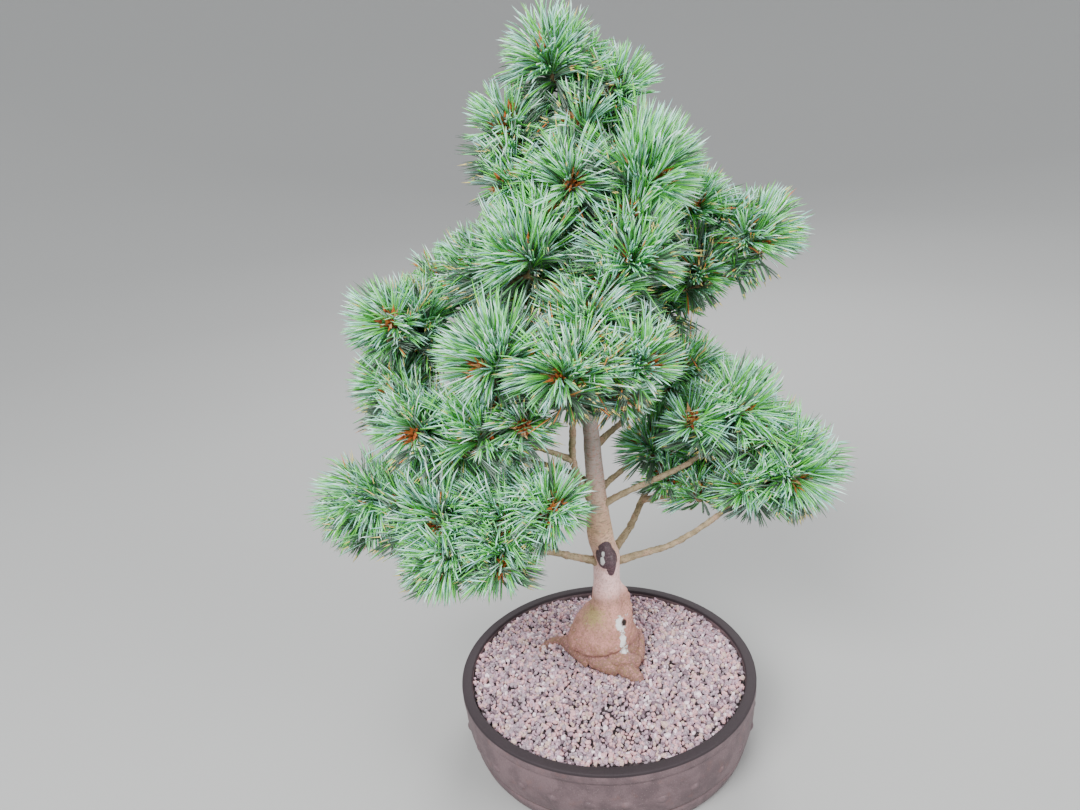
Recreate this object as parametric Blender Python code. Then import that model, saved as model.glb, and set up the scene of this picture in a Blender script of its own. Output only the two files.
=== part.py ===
"""Japanese white pine bonsai, grown on a grafted trunk in a round training pot.

Metres, +Z up. The origin is the middle of the pot's flat underside, and the front is toward -Y.
"""

import math
import random

import bmesh
import bpy
from mathutils import Quaternion, Vector

UP = Vector((0, 0, 1))
GOLDEN = math.radians(137.5)
GAP = 0.0003

# The pot: a round training pot of 12 inches, with a flat lip and a low foot band
POT_RADIUS = 0.1525
POT_HEIGHT = 0.076
LIP_WIDTH = 0.0102
FLOOR = 0.008
FLOOR_RADIUS = 0.133
POT_SIDES = 32
# Depth below the lip and how far the wall stands in from the lip's edge there
WALL = ((0.0, 0.0), (0.0115, 0.0), (0.0135, 0.0012), (0.036, 0.0019), (0.0555, 0.0058))
GROOVE = ((0.0572, 0.0083),)
FOOT = ((0.0598, 0.0068), (0.070, 0.0096), (0.076, 0.0130))

# The gravel: low near the lip, mounded toward the trunk, with a flat seat for its cut foot and
# shallow heaps and dips 24 mm apart between the two
GROUND = 0.080
SEAT_RADIUS = 0.056
GRAVEL_EDGE = 0.0715
GRAVEL_RINGS = 6
GRAVEL_SIDES = 48
HEAP_RISE = 0.0016
HEAPS_APART = 0.024

# The trunk: x, y, height and radius of its axis, from the cut at the ground to the leader's tip
TRUNK = (
    (0.0045, 0.0100, GROUND + GAP, 0.0305),
    (0.0020, 0.0110, 0.0920, 0.0340),
    (-0.0005, 0.0120, 0.1040, 0.0340),
    (0.0005, 0.0125, 0.1200, 0.0310),
    (0.0035, 0.0130, 0.1340, 0.0250),
    (0.0050, 0.0135, 0.1425, 0.0172),
    (0.0055, 0.0140, 0.1590, 0.0152),
    (0.0065, 0.0140, 0.1830, 0.0150),
    (0.0072, 0.0140, 0.1990, 0.0152),
    (0.0028, 0.0140, 0.2180, 0.0138),
    (0.0010, 0.0140, 0.2450, 0.0116),
    (0.0008, 0.0140, 0.2680, 0.0098),
    (-0.0008, 0.0140, 0.3250, 0.0080),
    (0.0000, 0.0140, 0.3700, 0.0072),
    (0.0140, 0.0140, 0.4600, 0.0060),
    (0.0135, 0.0140, 0.5000, 0.0053),
    (0.0060, 0.0140, 0.5700, 0.0042),
    (-0.0080, 0.0140, 0.6380, 0.0031),
)
TRUNK_SIDES = 20
# Bearing in degrees, reach past the trunk, half width in degrees, height of its middle and half height
SWELLINGS = (
    (-60, 0.0200, 15, GROUND, 0.013),
    (141, 0.0200, 15, GROUND, 0.012),
    (-128, -0.0110, 32, GROUND, 0.011),
    (22, 0.0040, 22, 0.088, 0.024),
    (-170, 0.0050, 26, 0.103, 0.016),
    (15, 0.0100, 17, 0.147, 0.013),
    (-90, 0.0028, 36, 0.198, 0.012),
)

# The boughs: the limb each leaves, its radii at root and tip, and the points that its axis passes
BOUGHS = {
    "low_left_bough": (
        "trunk", 0.0050, 0.0036,
        ((0.002, 0.014, 0.191), (-0.025, 0.000, 0.207), (-0.048, -0.011, 0.221), (-0.078, -0.025, 0.236)),
    ),
    "low_right_bough": (
        "trunk", 0.0046, 0.0028,
        ((0.008, 0.014, 0.188), (0.051, 0.010, 0.201), (0.071, 0.005, 0.209), (0.097, 0.000, 0.226),
         (0.122, -0.008, 0.249), (0.138, -0.012, 0.262)),
    ),
    "back_right_bough": (
        "trunk", 0.0050, 0.0034,
        ((0.008, 0.016, 0.193), (0.034, 0.040, 0.212), (0.049, 0.055, 0.232), (0.063, 0.067, 0.252),
         (0.078, 0.076, 0.272)),
    ),
    "right_low_bough": (
        "back_right_bough", 0.0034, 0.0022,
        ((0.052, 0.057, 0.236), (0.078, 0.051, 0.241), (0.098, 0.040, 0.252), (0.107, 0.035, 0.264)),
    ),
    "right_bough": (
        "trunk", 0.0042, 0.0028,
        ((0.001, 0.013, 0.254), (0.033, 0.007, 0.272), (0.072, 0.002, 0.290), (0.096, 0.000, 0.303),
         (0.112, 0.000, 0.319)),
    ),
    "right_inner_bough": (
        "trunk", 0.0042, 0.0030,
        ((0.001, 0.016, 0.270), (0.024, 0.030, 0.280), (0.045, 0.038, 0.292)),
    ),
    "back_left_bough": (
        "trunk", 0.0040, 0.0028,
        ((0.000, 0.014, 0.277), (-0.030, 0.034, 0.288), (-0.062, 0.054, 0.291), (-0.084, 0.066, 0.291)),
    ),
    "front_stem": (
        "trunk", 0.0050, 0.0036,
        ((0.000, 0.014, 0.254), (-0.015, 0.004, 0.286), (-0.021, -0.006, 0.316), (-0.020, -0.021, 0.350),
         (-0.019, -0.036, 0.378)),
    ),
    "left_bough": (
        "front_stem", 0.0034, 0.0024,
        ((-0.0205, -0.005, 0.314), (-0.042, -0.015, 0.329), (-0.060, -0.022, 0.339),
         (-0.077, -0.029, 0.349)),
    ),
    "back_bough": (
        "trunk", 0.0044, 0.0030,
        ((0.000, 0.014, 0.298), (0.003, 0.045, 0.316), (0.001, 0.070, 0.336), (-0.002, 0.092, 0.350)),
    ),
    "right_back_bough": (
        "trunk", 0.0040, 0.0026,
        ((0.000, 0.014, 0.318), (0.030, 0.032, 0.334), (0.056, 0.043, 0.346), (0.074, 0.049, 0.354)),
    ),
    "back_high_bough": (
        "trunk", 0.0040, 0.0028,
        ((0.000, 0.014, 0.342), (-0.028, 0.038, 0.360), (-0.054, 0.058, 0.380)),
    ),
    "front_left_bough": (
        "trunk", 0.0038, 0.0026,
        ((0.000, 0.014, 0.352), (-0.028, -0.010, 0.372), (-0.052, -0.031, 0.396), (-0.062, -0.038, 0.407)),
    ),
    "left_high_bough": (
        "trunk", 0.0042, 0.0026,
        ((0.001, 0.014, 0.376), (-0.045, 0.014, 0.394), (-0.090, 0.020, 0.412), (-0.122, 0.025, 0.424)),
    ),
    "back_mid_bough": (
        "trunk", 0.0036, 0.0026,
        ((0.004, 0.014, 0.392), (0.022, 0.038, 0.404), (0.036, 0.056, 0.412)),
    ),
    "mid_right_bough": (
        "trunk", 0.0036, 0.0024,
        ((0.011, 0.014, 0.440), (0.048, 0.016, 0.452), (0.080, 0.019, 0.462)),
    ),
}
BOUGH_SIDES = 7

# The masses of foliage: the limb each grows from (a height on the trunk where it is the trunk), then
# the heart and the reach of each round of shoots in it
MASSES = {
    "low_left_foliage": (
        "low_left_bough", 0,
        ((-0.094, -0.052, 0.290, 0.052), (-0.148, -0.056, 0.296, 0.054), (-0.220, -0.020, 0.297, 0.059),
         (-0.048, -0.058, 0.297, 0.049), (-0.146, -0.086, 0.262, 0.044), (-0.100, -0.080, 0.258, 0.042)),
    ),
    "back_left_foliage": (
        "back_left_bough", 0, ((-0.102, 0.092, 0.306, 0.052), (-0.148, 0.062, 0.314, 0.050)),
    ),
    "far_right_foliage": (
        "low_right_bough", 0, ((0.146, -0.030, 0.288, 0.046), (0.184, -0.036, 0.302, 0.056)),
    ),
    "right_foliage": ("right_bough", 0, ((0.136, -0.014, 0.356, 0.059), (0.092, -0.036, 0.359, 0.039))),
    "right_low_foliage": (
        "right_low_bough", 0, ((0.118, 0.034, 0.290, 0.045), (0.103, 0.010, 0.268, 0.036)),
    ),
    "back_right_foliage": (
        "back_right_bough", 0, ((0.104, 0.108, 0.322, 0.050), (0.144, 0.082, 0.336, 0.050)),
    ),
    "right_inner_foliage": (
        "right_inner_bough", 0, ((0.064, 0.036, 0.311, 0.040), (0.076, 0.030, 0.277, 0.032)),
    ),
    "right_back_foliage": ("right_back_bough", 0, ((0.100, 0.056, 0.376, 0.050),)),
    "back_foliage": ("back_bough", 0, ((0.004, 0.136, 0.366, 0.054),)),
    "left_foliage": (
        "left_bough", 0,
        ((-0.109, -0.050, 0.370, 0.051), (-0.160, -0.036, 0.376, 0.051), (-0.184, 0.008, 0.400, 0.045),
         (-0.067, -0.060, 0.380, 0.037)),
    ),
    "left_high_foliage": (
        "left_high_bough", 0, ((-0.162, 0.022, 0.452, 0.054), (-0.137, 0.088, 0.484, 0.040)),
    ),
    "front_left_foliage": ("front_left_bough", 0, ((-0.087, -0.070, 0.441, 0.053),)),
    "front_foliage": (
        "front_stem", 0,
        ((-0.026, -0.088, 0.429, 0.051), (0.036, -0.066, 0.429, 0.047), (-0.006, -0.052, 0.466, 0.044),
         (0.020, -0.052, 0.397, 0.035)),
    ),
    "back_high_foliage": ("back_high_bough", 0, ((-0.086, 0.100, 0.410, 0.056),)),
    "back_mid_foliage": (
        "back_mid_bough", 0, ((0.034, 0.108, 0.438, 0.054), (0.086, 0.078, 0.454, 0.049)),
    ),
    "mid_right_foliage": (
        "mid_right_bough", 0,
        ((0.108, 0.020, 0.486, 0.046), (0.160, 0.012, 0.512, 0.049), (0.108, 0.030, 0.540, 0.040)),
    ),
    "mid_front_foliage": ("trunk", 0.462, ((0.040, -0.042, 0.510, 0.051),)),
    "mid_left_foliage": (
        "trunk", 0.474, ((-0.050, -0.034, 0.520, 0.053), (-0.095, 0.012, 0.505, 0.044)),
    ),
    "mid_back_foliage": (
        "trunk", 0.488, ((-0.028, 0.088, 0.520, 0.053), (0.050, 0.078, 0.532, 0.049)),
    ),
    "upper_right_foliage": ("trunk", 0.534, ((0.054, -0.026, 0.579, 0.057),)),
    "upper_left_foliage": (
        "trunk", 0.546, ((-0.055, -0.004, 0.577, 0.039), (-0.058, 0.013, 0.623, 0.039)),
    ),
    "upper_front_foliage": ("trunk", 0.556, ((-0.012, -0.028, 0.577, 0.043),)),
    "upper_back_foliage": ("trunk", 0.566, ((-0.002, 0.064, 0.606, 0.048),)),
    "top_right_foliage": ("trunk", 0.598, ((0.040, 0.020, 0.642, 0.042),)),
    "apex_foliage": ("trunk", 0.640, ((-0.016, 0.010, 0.672, 0.048),)),
}

# The growth rule, as shares of a round's reach where a value has no unit
STEM_TIP = 0.0022
TWIG_RADIUS = 0.0020
NECK = 0.009
FOOT_DROP = 0.42
OUTWARD = 9.0
OUTWARD_MOST = 1.5
TWIG_LIFT = 0.22
TWIGS = 3
TWIG_SPREAD = math.radians(80)
CORE_ACROSS = 0.70
CORE_UP = 0.60
CORE_DOWN = 0.42
SPRAYS = 8
SPRAY_ROOT = 0.40
SPRAY_SPREAD = math.radians(122)
SPRAY_WIDTH = 0.44
SPRAY_DEPTH = 0.0030
SPRAY_SHORTEST = 0.66
SPRAY_CLEAR = 0.0016
SPRAYS_APART = 0.0080
TWIG_CLEAR = 0.0028
CORE_CLEAR = 0.0010
# A spray's outline: how far out along it and how far to its side each point lies, root first
TEETH = ((0.0, 0.0), (0.86, 0.5), (0.60, 0.15), (1.0, 0.0), (0.60, -0.15), (0.90, -0.5))
SPRAY_CREST = 0.52


def clear_scene():
    for item in list(bpy.data.objects):
        bpy.data.objects.remove(item, do_unlink=True)


def finish_material(name, colour, roughness, metallic=0.0):
    material = bpy.data.materials.get(name)
    if material is None:
        material = bpy.data.materials.new(name)
        material.use_nodes = True
        shader = material.node_tree.nodes["Principled BSDF"]
        shader.inputs["Base Color"].default_value = (*colour, 1)
        shader.inputs["Roughness"].default_value = roughness
        shader.inputs["Metallic"].default_value = metallic
    return material


def pot_finish():
    return finish_material("dark_brown_pot", (0.075, 0.058, 0.052), 0.42)


def gravel_finish():
    return finish_material("pink_grey_gravel", (0.30, 0.25, 0.245), 0.9)


def bark_finish():
    return finish_material("young_pine_bark", (0.235, 0.205, 0.155), 0.85)


def needle_finish():
    return finish_material("blue_green_needles", (0.095, 0.215, 0.135), 0.55)


def solid(name, points, faces, material, collection=None):
    """A named object from points and faces, with its faces turned outward."""
    mesh = bpy.data.meshes.new(name)
    shape = bmesh.new()
    corners = [shape.verts.new(point) for point in points]
    for face in faces:
        shape.faces.new([corners[index] for index in face])
    bmesh.ops.recalc_face_normals(shape, faces=shape.faces)
    shape.to_mesh(mesh)
    shape.free()
    mesh.materials.append(material)
    made = bpy.data.objects.new(name, mesh)
    (collection or bpy.context.scene.collection).objects.link(made)
    return made


def round_off(made, angle=40):
    made.data.shade_smooth()
    made.data.set_sharp_from_angle(angle=math.radians(angle))


def stacked(rings):
    """Points and faces of a closed skin over rings of equal count, with flat ends."""
    sides = len(rings[0])
    points = [point for ring in rings for point in ring]
    faces = [tuple(reversed(range(sides)))]
    for low in range(0, sides * (len(rings) - 1), sides):
        for side in range(sides):
            after = (side + 1) % sides
            faces.append((low + side, low + after, low + sides + after, low + sides + side))
    faces.append(tuple(range(len(points) - sides, len(points))))
    return points, faces


def turned(name, profile, sides, material):
    """A round solid from radius and height pairs, whose two ends are flat discs."""
    rings = []
    for radius, height in profile:
        turn = [math.tau * side / sides for side in range(sides)]
        rings.append([Vector((radius * math.cos(a), radius * math.sin(a), height)) for a in turn])
    made = solid(name, *stacked(rings), material)
    round_off(made)
    return made


def smooth(points, steps):
    """Points on a smooth curve through the given ones, with this many steps to a span."""
    points = [Vector(point) for point in points]
    ends = [2 * points[0] - points[1], *points, 2 * points[-1] - points[-2]]
    curve = []
    for before, start, end, after in zip(ends, ends[1:], ends[2:], ends[3:]):
        for step in range(steps):
            t = step / steps
            bend = 2 * before - 5 * start + 4 * end - after
            twist = 3 * start - before - 3 * end + after
            curve.append(start + 0.5 * t * (end - before + t * (bend + t * twist)))
    return [*curve, points[-1]]


def tube(name, route, radii, sides, material, collection=None):
    """A tapering limb along a route, with flat ends square to it."""
    count = len(route)
    across = (route[1] - route[0]).orthogonal().normalized()
    rings = []
    for index, (centre, radius) in enumerate(zip(route, radii)):
        along = (route[min(index + 1, count - 1)] - route[max(index - 1, 0)]).normalized()
        across = (across - across.dot(along) * along).normalized()
        beside = along.cross(across)
        turn = [math.tau * side / sides for side in range(sides)]
        rings.append([centre + radius * (math.cos(a) * across + math.sin(a) * beside) for a in turn])
    return solid(name, *stacked(rings), material, collection)


def trunk_at(height):
    """The trunk's axis point and radius at a height."""
    for low, high in zip(TRUNK, TRUNK[1:]):
        if height <= high[2]:
            break
    share = min(max((height - low[2]) / (high[2] - low[2]), 0), 1)
    here = Vector(low).lerp(Vector(high), share)
    return Vector((here[0], here[1], height)), here[3]


def trunk_skin(station, grow):
    """One ring of the trunk's skin, with the root flare and the old stub standing out of it."""
    x, y, height, radius = station
    ring = []
    for side in range(TRUNK_SIDES):
        bearing = math.tau * side / TRUNK_SIDES
        reach = radius + grow
        for toward, stand, width, middle, tall in SWELLINGS:
            turn = math.degrees(bearing) - toward
            aside = (turn + 180) % 360 - 180
            reach += stand * math.exp(-((aside / width) ** 2) - ((height - middle) / tall) ** 2)
        ring.append(Vector((x + reach * math.cos(bearing), y + reach * math.sin(bearing), height)))
    return ring


def make_trunk(name="trunk", grow=0.0):
    stations = smooth(TRUNK, 2)
    if grow:
        stations[0] = Vector((*stations[0][:2], stations[0][2] - 0.01, stations[0][3]))
        stations[-1] = Vector((*stations[-1][:2], stations[-1][2] + GAP, stations[-1][3]))
    made = solid(name, *stacked([trunk_skin(station, grow) for station in stations]), bark_finish())
    round_off(made, 60)
    return made


def bough_line(name):
    """The smooth axis of a bough and its radius at each point, with a collar at its root."""
    _, root, tip, points = BOUGHS[name]
    route = smooth(points, 2)
    count = len(route) - 1
    collar = [1.45, 1.12] + [1.0] * (count - 1)
    radii = [(root + (tip - root) * index / count) * collar[index] for index in range(count + 1)]
    return route, radii


def make_bough(name, grow=0.0):
    route, radii = bough_line(name)
    label = name + "_space" if grow else name
    made = tube(label, route, [radius + grow for radius in radii], BOUGH_SIDES, bark_finish())
    round_off(made, 70)
    return made


def cut_clear(made, cutter, solver="EXACT"):
    """Takes the cutter's shape out of the made solid."""
    cut = made.modifiers.new("clear_of_" + cutter.name, "BOOLEAN")
    cut.operation = "DIFFERENCE"
    cut.object = cutter
    cut.solver = solver
    apply_modifier(made, cut.name)


def apply_modifier(made, name):
    with bpy.context.temp_override(object=made, active_object=made, selected_objects=[made]):
        bpy.ops.object.modifier_apply(modifier=name)


def make_boughs():
    spaces = {"trunk": make_trunk("trunk_space", GAP)}
    for name, (parent, *_) in BOUGHS.items():
        made = make_bough(name)
        if parent not in spaces:
            spaces[parent] = make_bough(parent, GAP)
        cut_clear(made, spaces[parent])
        keep_main_piece(made)
    return spaces


def stem_start(name):
    """Where a mass's stem starts, its first direction and its radius there."""
    limb, height, hearts = MASSES[name]
    if limb != "trunk":
        route, radii = bough_line(limb)
        along = (route[-1] - route[-2]).normalized()
        return route[-1] + GAP * along, along, radii[-1] * 0.94
    tip = Vector(TRUNK[-1][:3])
    if height >= tip.z:
        return tip + GAP * UP, UP, TRUNK[-1][3] * 0.9
    centre, radius = trunk_at(height)
    outward = Vector(hearts[0][:3]) - centre
    outward.z = 0
    return centre, outward.normalized(), min(0.0028, radius * 0.6)


def stem_lines(name):
    """The tubes of a mass's stem: from its limb to the foot of each round of shoots, in turn."""
    limb, height, hearts = MASSES[name]
    start, along, thick = stem_start(name)
    reach = trunk_at(height)[1] if limb == "trunk" and height < TRUNK[-1][2] else 0
    neck = start + (reach + NECK) * along
    knots = [neck]
    lines = []
    for order, heart in enumerate(hearts):
        foot = Vector(heart[:3]) - FOOT_DROP * heart[3] * UP
        near = min(knots, key=lambda knot: (knot - foot).length)
        sag = near.lerp(foot, 0.5) - 0.06 * (foot - near).length * UP
        route = [start, neck, sag, foot] if order == 0 else [near, sag, foot]
        first = thick if order == 0 else thick * 0.8
        last = len(route) - 1
        radii = [first + (STEM_TIP - first) * step / last for step in range(last + 1)]
        lines.append((route, radii))
        knots.append(foot)
    return lines, knots[1:]


def capsules():
    """Each straight stretch of every limb and stem: its owner, two ends and radius."""
    found = []
    stations = smooth(TRUNK, 2)
    lines = [("trunk", [Vector(row[:3]) for row in stations], [row[3] for row in stations])]
    lines += [(name, *bough_line(name)) for name in BOUGHS]
    for name in MASSES:
        lines += [(name, *line) for line in stem_lines(name)[0]]
    for owner, route, radii in lines:
        for index in range(len(route) - 1):
            found.append((owner, route[index], route[index + 1], max(radii[index : index + 2])))
    return found


def in_space(own, point, clear):
    """Whether a point lies in the space of these rounds, this far clear of every other round's."""
    best, heart = min(((point - Vector(row[:3])).length_squared - row[3] ** 2, row) for row in own)
    if best > 0:
        return False
    for _, _, hearts in MASSES.values():
        for row in hearts:
            power = (point - Vector(row[:3])).length_squared - row[3] ** 2
            apart = (Vector(row[:3]) - Vector(heart[:3])).length
            if row not in own and power - best < 2 * clear * apart:
                return False
    return True


def off_limbs(name, point, clear, limbs):
    """Whether a point is this far clear of every limb and of every other mass's stem."""
    for owner, start, end, radius in limbs:
        if owner == name:
            continue
        along = end - start
        share = min(max((point - start).dot(along) / along.length_squared, 0), 1)
        if (point - start - share * along).length < radius + clear:
            return False
    return True


def fits(name, own, points, clear, limbs):
    return all(in_space(own, p, clear) and off_limbs(name, p, clear, limbs) for p in points)


def dome(axis, count, widest, phase):
    """Directions spread evenly by the golden angle over a dome round an axis."""
    across = axis.orthogonal().normalized()
    for index in range(count):
        lean = math.acos(1 - (index + 0.5) / count * (1 - math.cos(widest)))
        tilted = Quaternion(across, lean) @ axis
        yield Quaternion(axis, phase + index * GOLDEN) @ tilted


def facing(heart):
    """The way that a round of shoots faces: up, and out from the trunk, more so further from it."""
    outward = heart - trunk_at(heart.z)[0]
    outward.z = 0
    lean = min(OUTWARD * outward.length, OUTWARD_MOST)
    return (lean * outward.normalized() + 0.85 * UP).normalized()


def twigs_of(name, heart, reach, foot, draw, limbs):
    """The twigs of one round: short curved shoots that fan up and out from its foot."""
    routes = []
    for toward in dome(facing(heart), TWIGS, TWIG_SPREAD, draw.uniform(0, math.tau)):
        tip = heart + TWIG_LIFT * reach * toward
        sway = foot.lerp(tip, 0.5) + 0.10 * reach * (toward - toward.dot(UP) * UP)
        if fits(name, MASSES[name][2], [sway, tip], TWIG_CLEAR, limbs):
            routes.append([foot, sway, tip])
    return routes


def make_core(name, heart, reach, draw, limbs, collection):
    """The dense middle of one round: a flattened twenty-sided ball, kept within its own space."""
    shape = bmesh.new()
    bmesh.ops.create_icosphere(shape, subdivisions=1, radius=1)
    turn = Quaternion(UP, draw.uniform(0, math.tau))
    for corner in shape.verts:
        across = turn @ corner.co
        rise = CORE_UP if across.z > 0 else CORE_DOWN
        offset = Vector((CORE_ACROSS * across.x, CORE_ACROSS * across.y, rise * across.z))
        offset *= reach * draw.uniform(0.95, 1.1)
        while not fits(name, MASSES[name][2], [heart + offset], CORE_CLEAR, limbs):
            offset *= 0.93
        corner.co = heart + offset
    mesh = bpy.data.meshes.new("middle")
    shape.to_mesh(mesh)
    shape.free()
    mesh.materials.append(needle_finish())
    collection.objects.link(bpy.data.objects.new("middle", mesh))


def crosses(along, others):
    """Whether a spray comes too near one that is there already."""
    for start, end in others:
        run = end - start
        for point in along:
            share = min(max((point - start).dot(run) / run.length_squared, 0), 1)
            if (point - start - share * run).length < SPRAYS_APART:
                return True
    return False


def spray_points(root, toward, side, length, width):
    """The toothed outline of a spray and its crest."""
    outline = [root + along * length * toward + aside * width * side for along, aside in TEETH]
    return [*outline, root + SPRAY_CREST * length * toward + SPRAY_DEPTH * side.cross(toward)]


def sprays_of(name, row, draw, limbs):
    """The sprays of one round, rooted deep in its middle and reaching out to the edge of its space."""
    heart, reach = Vector(row[:3]), row[3]
    others = []
    for toward in dome(facing(heart), SPRAYS, SPRAY_SPREAD, draw.uniform(0, math.tau)):
        root = heart + SPRAY_ROOT * reach * toward
        side = Quaternion(toward, draw.uniform(0, math.pi)) @ toward.orthogonal().normalized()
        size = draw.uniform(0.9, 1.0)
        while size > SPRAY_SHORTEST:
            points = spray_points(root, toward, side, (size - SPRAY_ROOT) * reach, SPRAY_WIDTH * reach)
            tips = points[1:6:2]
            middles = [root.lerp(tip, 0.75) for tip in tips]
            if fits(name, [row], [*points[1:6], *middles], SPRAY_CLEAR, limbs):
                if not crosses(middles + tips, others):
                    others += [(root.lerp(tip, 0.4), tip) for tip in tips]
                    yield points
                break
            size *= 0.94


def make_spray(points, collection):
    """A closed thin blade with three teeth, flat on one side and thickest at its crest."""
    count = len(TEETH)
    faces = [(index, (index + 1) % count, count) for index in range(count)]
    faces += [(0, 2, 1), (0, 4, 2), (0, 5, 4), (2, 4, 3)]
    return solid("spray", points, faces, needle_finish(), collection)


def keep_main_piece(made):
    """Drops the skins of sealed hollows and loose scraps, leaving the largest skin."""
    shape = bmesh.new()
    shape.from_mesh(made.data)
    left = set(shape.verts)
    skins = []
    while left:
        grown = {left.pop()}
        edge = list(grown)
        while edge:
            near = {link.other_vert(vert) for vert in edge for link in vert.link_edges} & left
            left -= near
            grown |= near
            edge = list(near)
        skins.append(grown)
    skins.sort(key=len)
    scraps = [vert for skin in skins[:-1] for vert in skin]
    bmesh.ops.delete(shape, geom=scraps, context="VERTS")
    shape.to_mesh(made.data)
    shape.free()
    return len(skins) - 1


def join_pieces(made, pieces):
    """Joins a collection's solids to the made one, and removes the collection."""
    join = made.modifiers.new("join", "BOOLEAN")
    join.operation = "UNION"
    join.operand_type = "COLLECTION"
    join.collection = pieces
    join.solver = "MANIFOLD"
    apply_modifier(made, "join")
    for piece in list(pieces.objects):
        bpy.data.objects.remove(piece, do_unlink=True)
    bpy.data.collections.remove(pieces)


def make_mass(name, limbs, spaces):
    """One mass of foliage: stem, twigs, dense middles and needle sprays joined in one solid."""
    draw = random.Random(name)
    pieces = bpy.data.collections.new(name + "_pieces")
    bpy.context.scene.collection.children.link(pieces)
    lines, feet = stem_lines(name)
    made = tube(name, *lines[0], 3, needle_finish())
    for route, radii in lines[1:]:
        tube("side_stem", route, radii, 3, needle_finish(), pieces)
    sprays = 0
    for row, foot in zip(MASSES[name][2], feet):
        heart, reach = Vector(row[:3]), row[3]
        for route in twigs_of(name, heart, reach, foot, draw, limbs):
            tube("twig", route, [STEM_TIP, TWIG_RADIUS, TWIG_RADIUS], 3, needle_finish(), pieces)
        make_core(name, heart, reach, draw, limbs, pieces)
        for points in sprays_of(name, row, draw, limbs):
            make_spray(points, pieces)
            sprays += 1
    join_pieces(made, pieces)
    if MASSES[name][0] == "trunk" and MASSES[name][1] < TRUNK[-1][2]:
        cut_clear(made, spaces["trunk"], "MANIFOLD")
    scraps = keep_main_piece(made)
    made.data.materials.clear()
    made.data.materials.append(needle_finish())
    print(f"{name}: {sprays} sprays, {len(made.data.polygons)} faces, {scraps} scraps dropped")
    return sprays


def inner_radius(height):
    """The pot's inner radius at a height, from its floor to its lip."""
    share = (height - FLOOR) / (POT_HEIGHT - FLOOR)
    return FLOOR_RADIUS + (POT_RADIUS - LIP_WIDTH - FLOOR_RADIUS) * share


def make_pot():
    outside = [(POT_RADIUS - inset, POT_HEIGHT - depth) for depth, inset in reversed(WALL + GROOVE + FOOT)]
    inside = [(inner_radius(POT_HEIGHT), POT_HEIGHT), (FLOOR_RADIUS, FLOOR), (0.020, FLOOR)]
    return turned("pot", [(0.020, 0.0), *outside, *inside], POT_SIDES, pot_finish())


def heap_at(point):
    """How far a heap or a dip in the gravel lifts its surface at a point."""
    along, beside = (math.pi * place / HEAPS_APART for place in point[:2])
    return HEAP_RISE * math.sin(along + 0.4 * math.sin(beside)) * math.sin(beside + 1.1)


def make_gravel():
    """The gravel up to just inside the pot's wall, with heaps and dips on its slope."""
    bottom = FLOOR + GAP
    flat = math.cos(math.pi / POT_SIDES)
    foot, edge = (inner_radius(height) * flat - GAP for height in (bottom, GRAVEL_EDGE))
    profile = [(0.020, bottom), (foot, bottom), (edge, GRAVEL_EDGE)]
    for step in range(1, GRAVEL_RINGS + 1):
        share = step / GRAVEL_RINGS
        rise = (1 - math.cos(math.pi * share)) / 2
        profile.append((edge + (SEAT_RADIUS - edge) * share, GRAVEL_EDGE + (GROUND - GRAVEL_EDGE) * rise))
    made = turned("gravel", [*profile, (0.020, GROUND)], GRAVEL_SIDES, gravel_finish())
    for corner in made.data.vertices:
        if SEAT_RADIUS * 1.01 < corner.co.xy.length < edge * 0.99 and corner.co.z > GRAVEL_EDGE:
            corner.co.z += heap_at(corner.co)
    round_off(made)
    return made


def hide_spaces(spaces):
    """Keeps the shapes that only cut others out of view."""
    for space in spaces.values():
        space.hide_render = True
        space.display_type = "WIRE"


def main():
    clear_scene()
    make_pot()
    make_gravel()
    make_trunk()
    spaces = make_boughs()
    limbs = capsules()
    total = sum(make_mass(name, limbs, spaces) for name in MASSES)
    hide_spaces(spaces)
    print(total, "sprays in all")


main()
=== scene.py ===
# %% [markdown]
# # Dressing a japanese white pine bonsai
# The solid model has the tree's true size and its main shapes: pot, gravel, trunk, boughs and masses
# of foliage. Each cell below gives one of them the surface of the real thing. Nothing is moved or
# resized: every new piece lies where its solid lies.

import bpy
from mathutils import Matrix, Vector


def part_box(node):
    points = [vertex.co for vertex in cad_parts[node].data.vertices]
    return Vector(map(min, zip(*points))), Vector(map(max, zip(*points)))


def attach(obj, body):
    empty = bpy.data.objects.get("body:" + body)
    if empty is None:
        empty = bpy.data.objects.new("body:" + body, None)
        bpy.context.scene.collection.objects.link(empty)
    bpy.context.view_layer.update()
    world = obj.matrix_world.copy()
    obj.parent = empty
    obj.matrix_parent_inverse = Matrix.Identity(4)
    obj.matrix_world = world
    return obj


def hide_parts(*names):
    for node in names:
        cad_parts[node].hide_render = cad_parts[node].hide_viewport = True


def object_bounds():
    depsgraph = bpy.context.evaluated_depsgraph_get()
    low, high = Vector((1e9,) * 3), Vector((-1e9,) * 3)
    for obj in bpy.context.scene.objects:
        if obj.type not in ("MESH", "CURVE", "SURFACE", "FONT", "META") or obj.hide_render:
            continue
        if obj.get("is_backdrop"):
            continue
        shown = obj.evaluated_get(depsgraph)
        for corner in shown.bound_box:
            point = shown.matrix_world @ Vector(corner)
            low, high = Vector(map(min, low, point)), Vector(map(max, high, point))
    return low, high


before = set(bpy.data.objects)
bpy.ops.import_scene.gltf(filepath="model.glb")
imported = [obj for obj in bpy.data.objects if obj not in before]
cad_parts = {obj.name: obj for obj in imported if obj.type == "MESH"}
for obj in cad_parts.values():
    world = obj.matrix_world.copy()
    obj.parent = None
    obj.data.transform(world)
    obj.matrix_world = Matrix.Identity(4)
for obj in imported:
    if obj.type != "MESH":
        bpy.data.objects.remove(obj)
solid_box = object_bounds()
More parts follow.
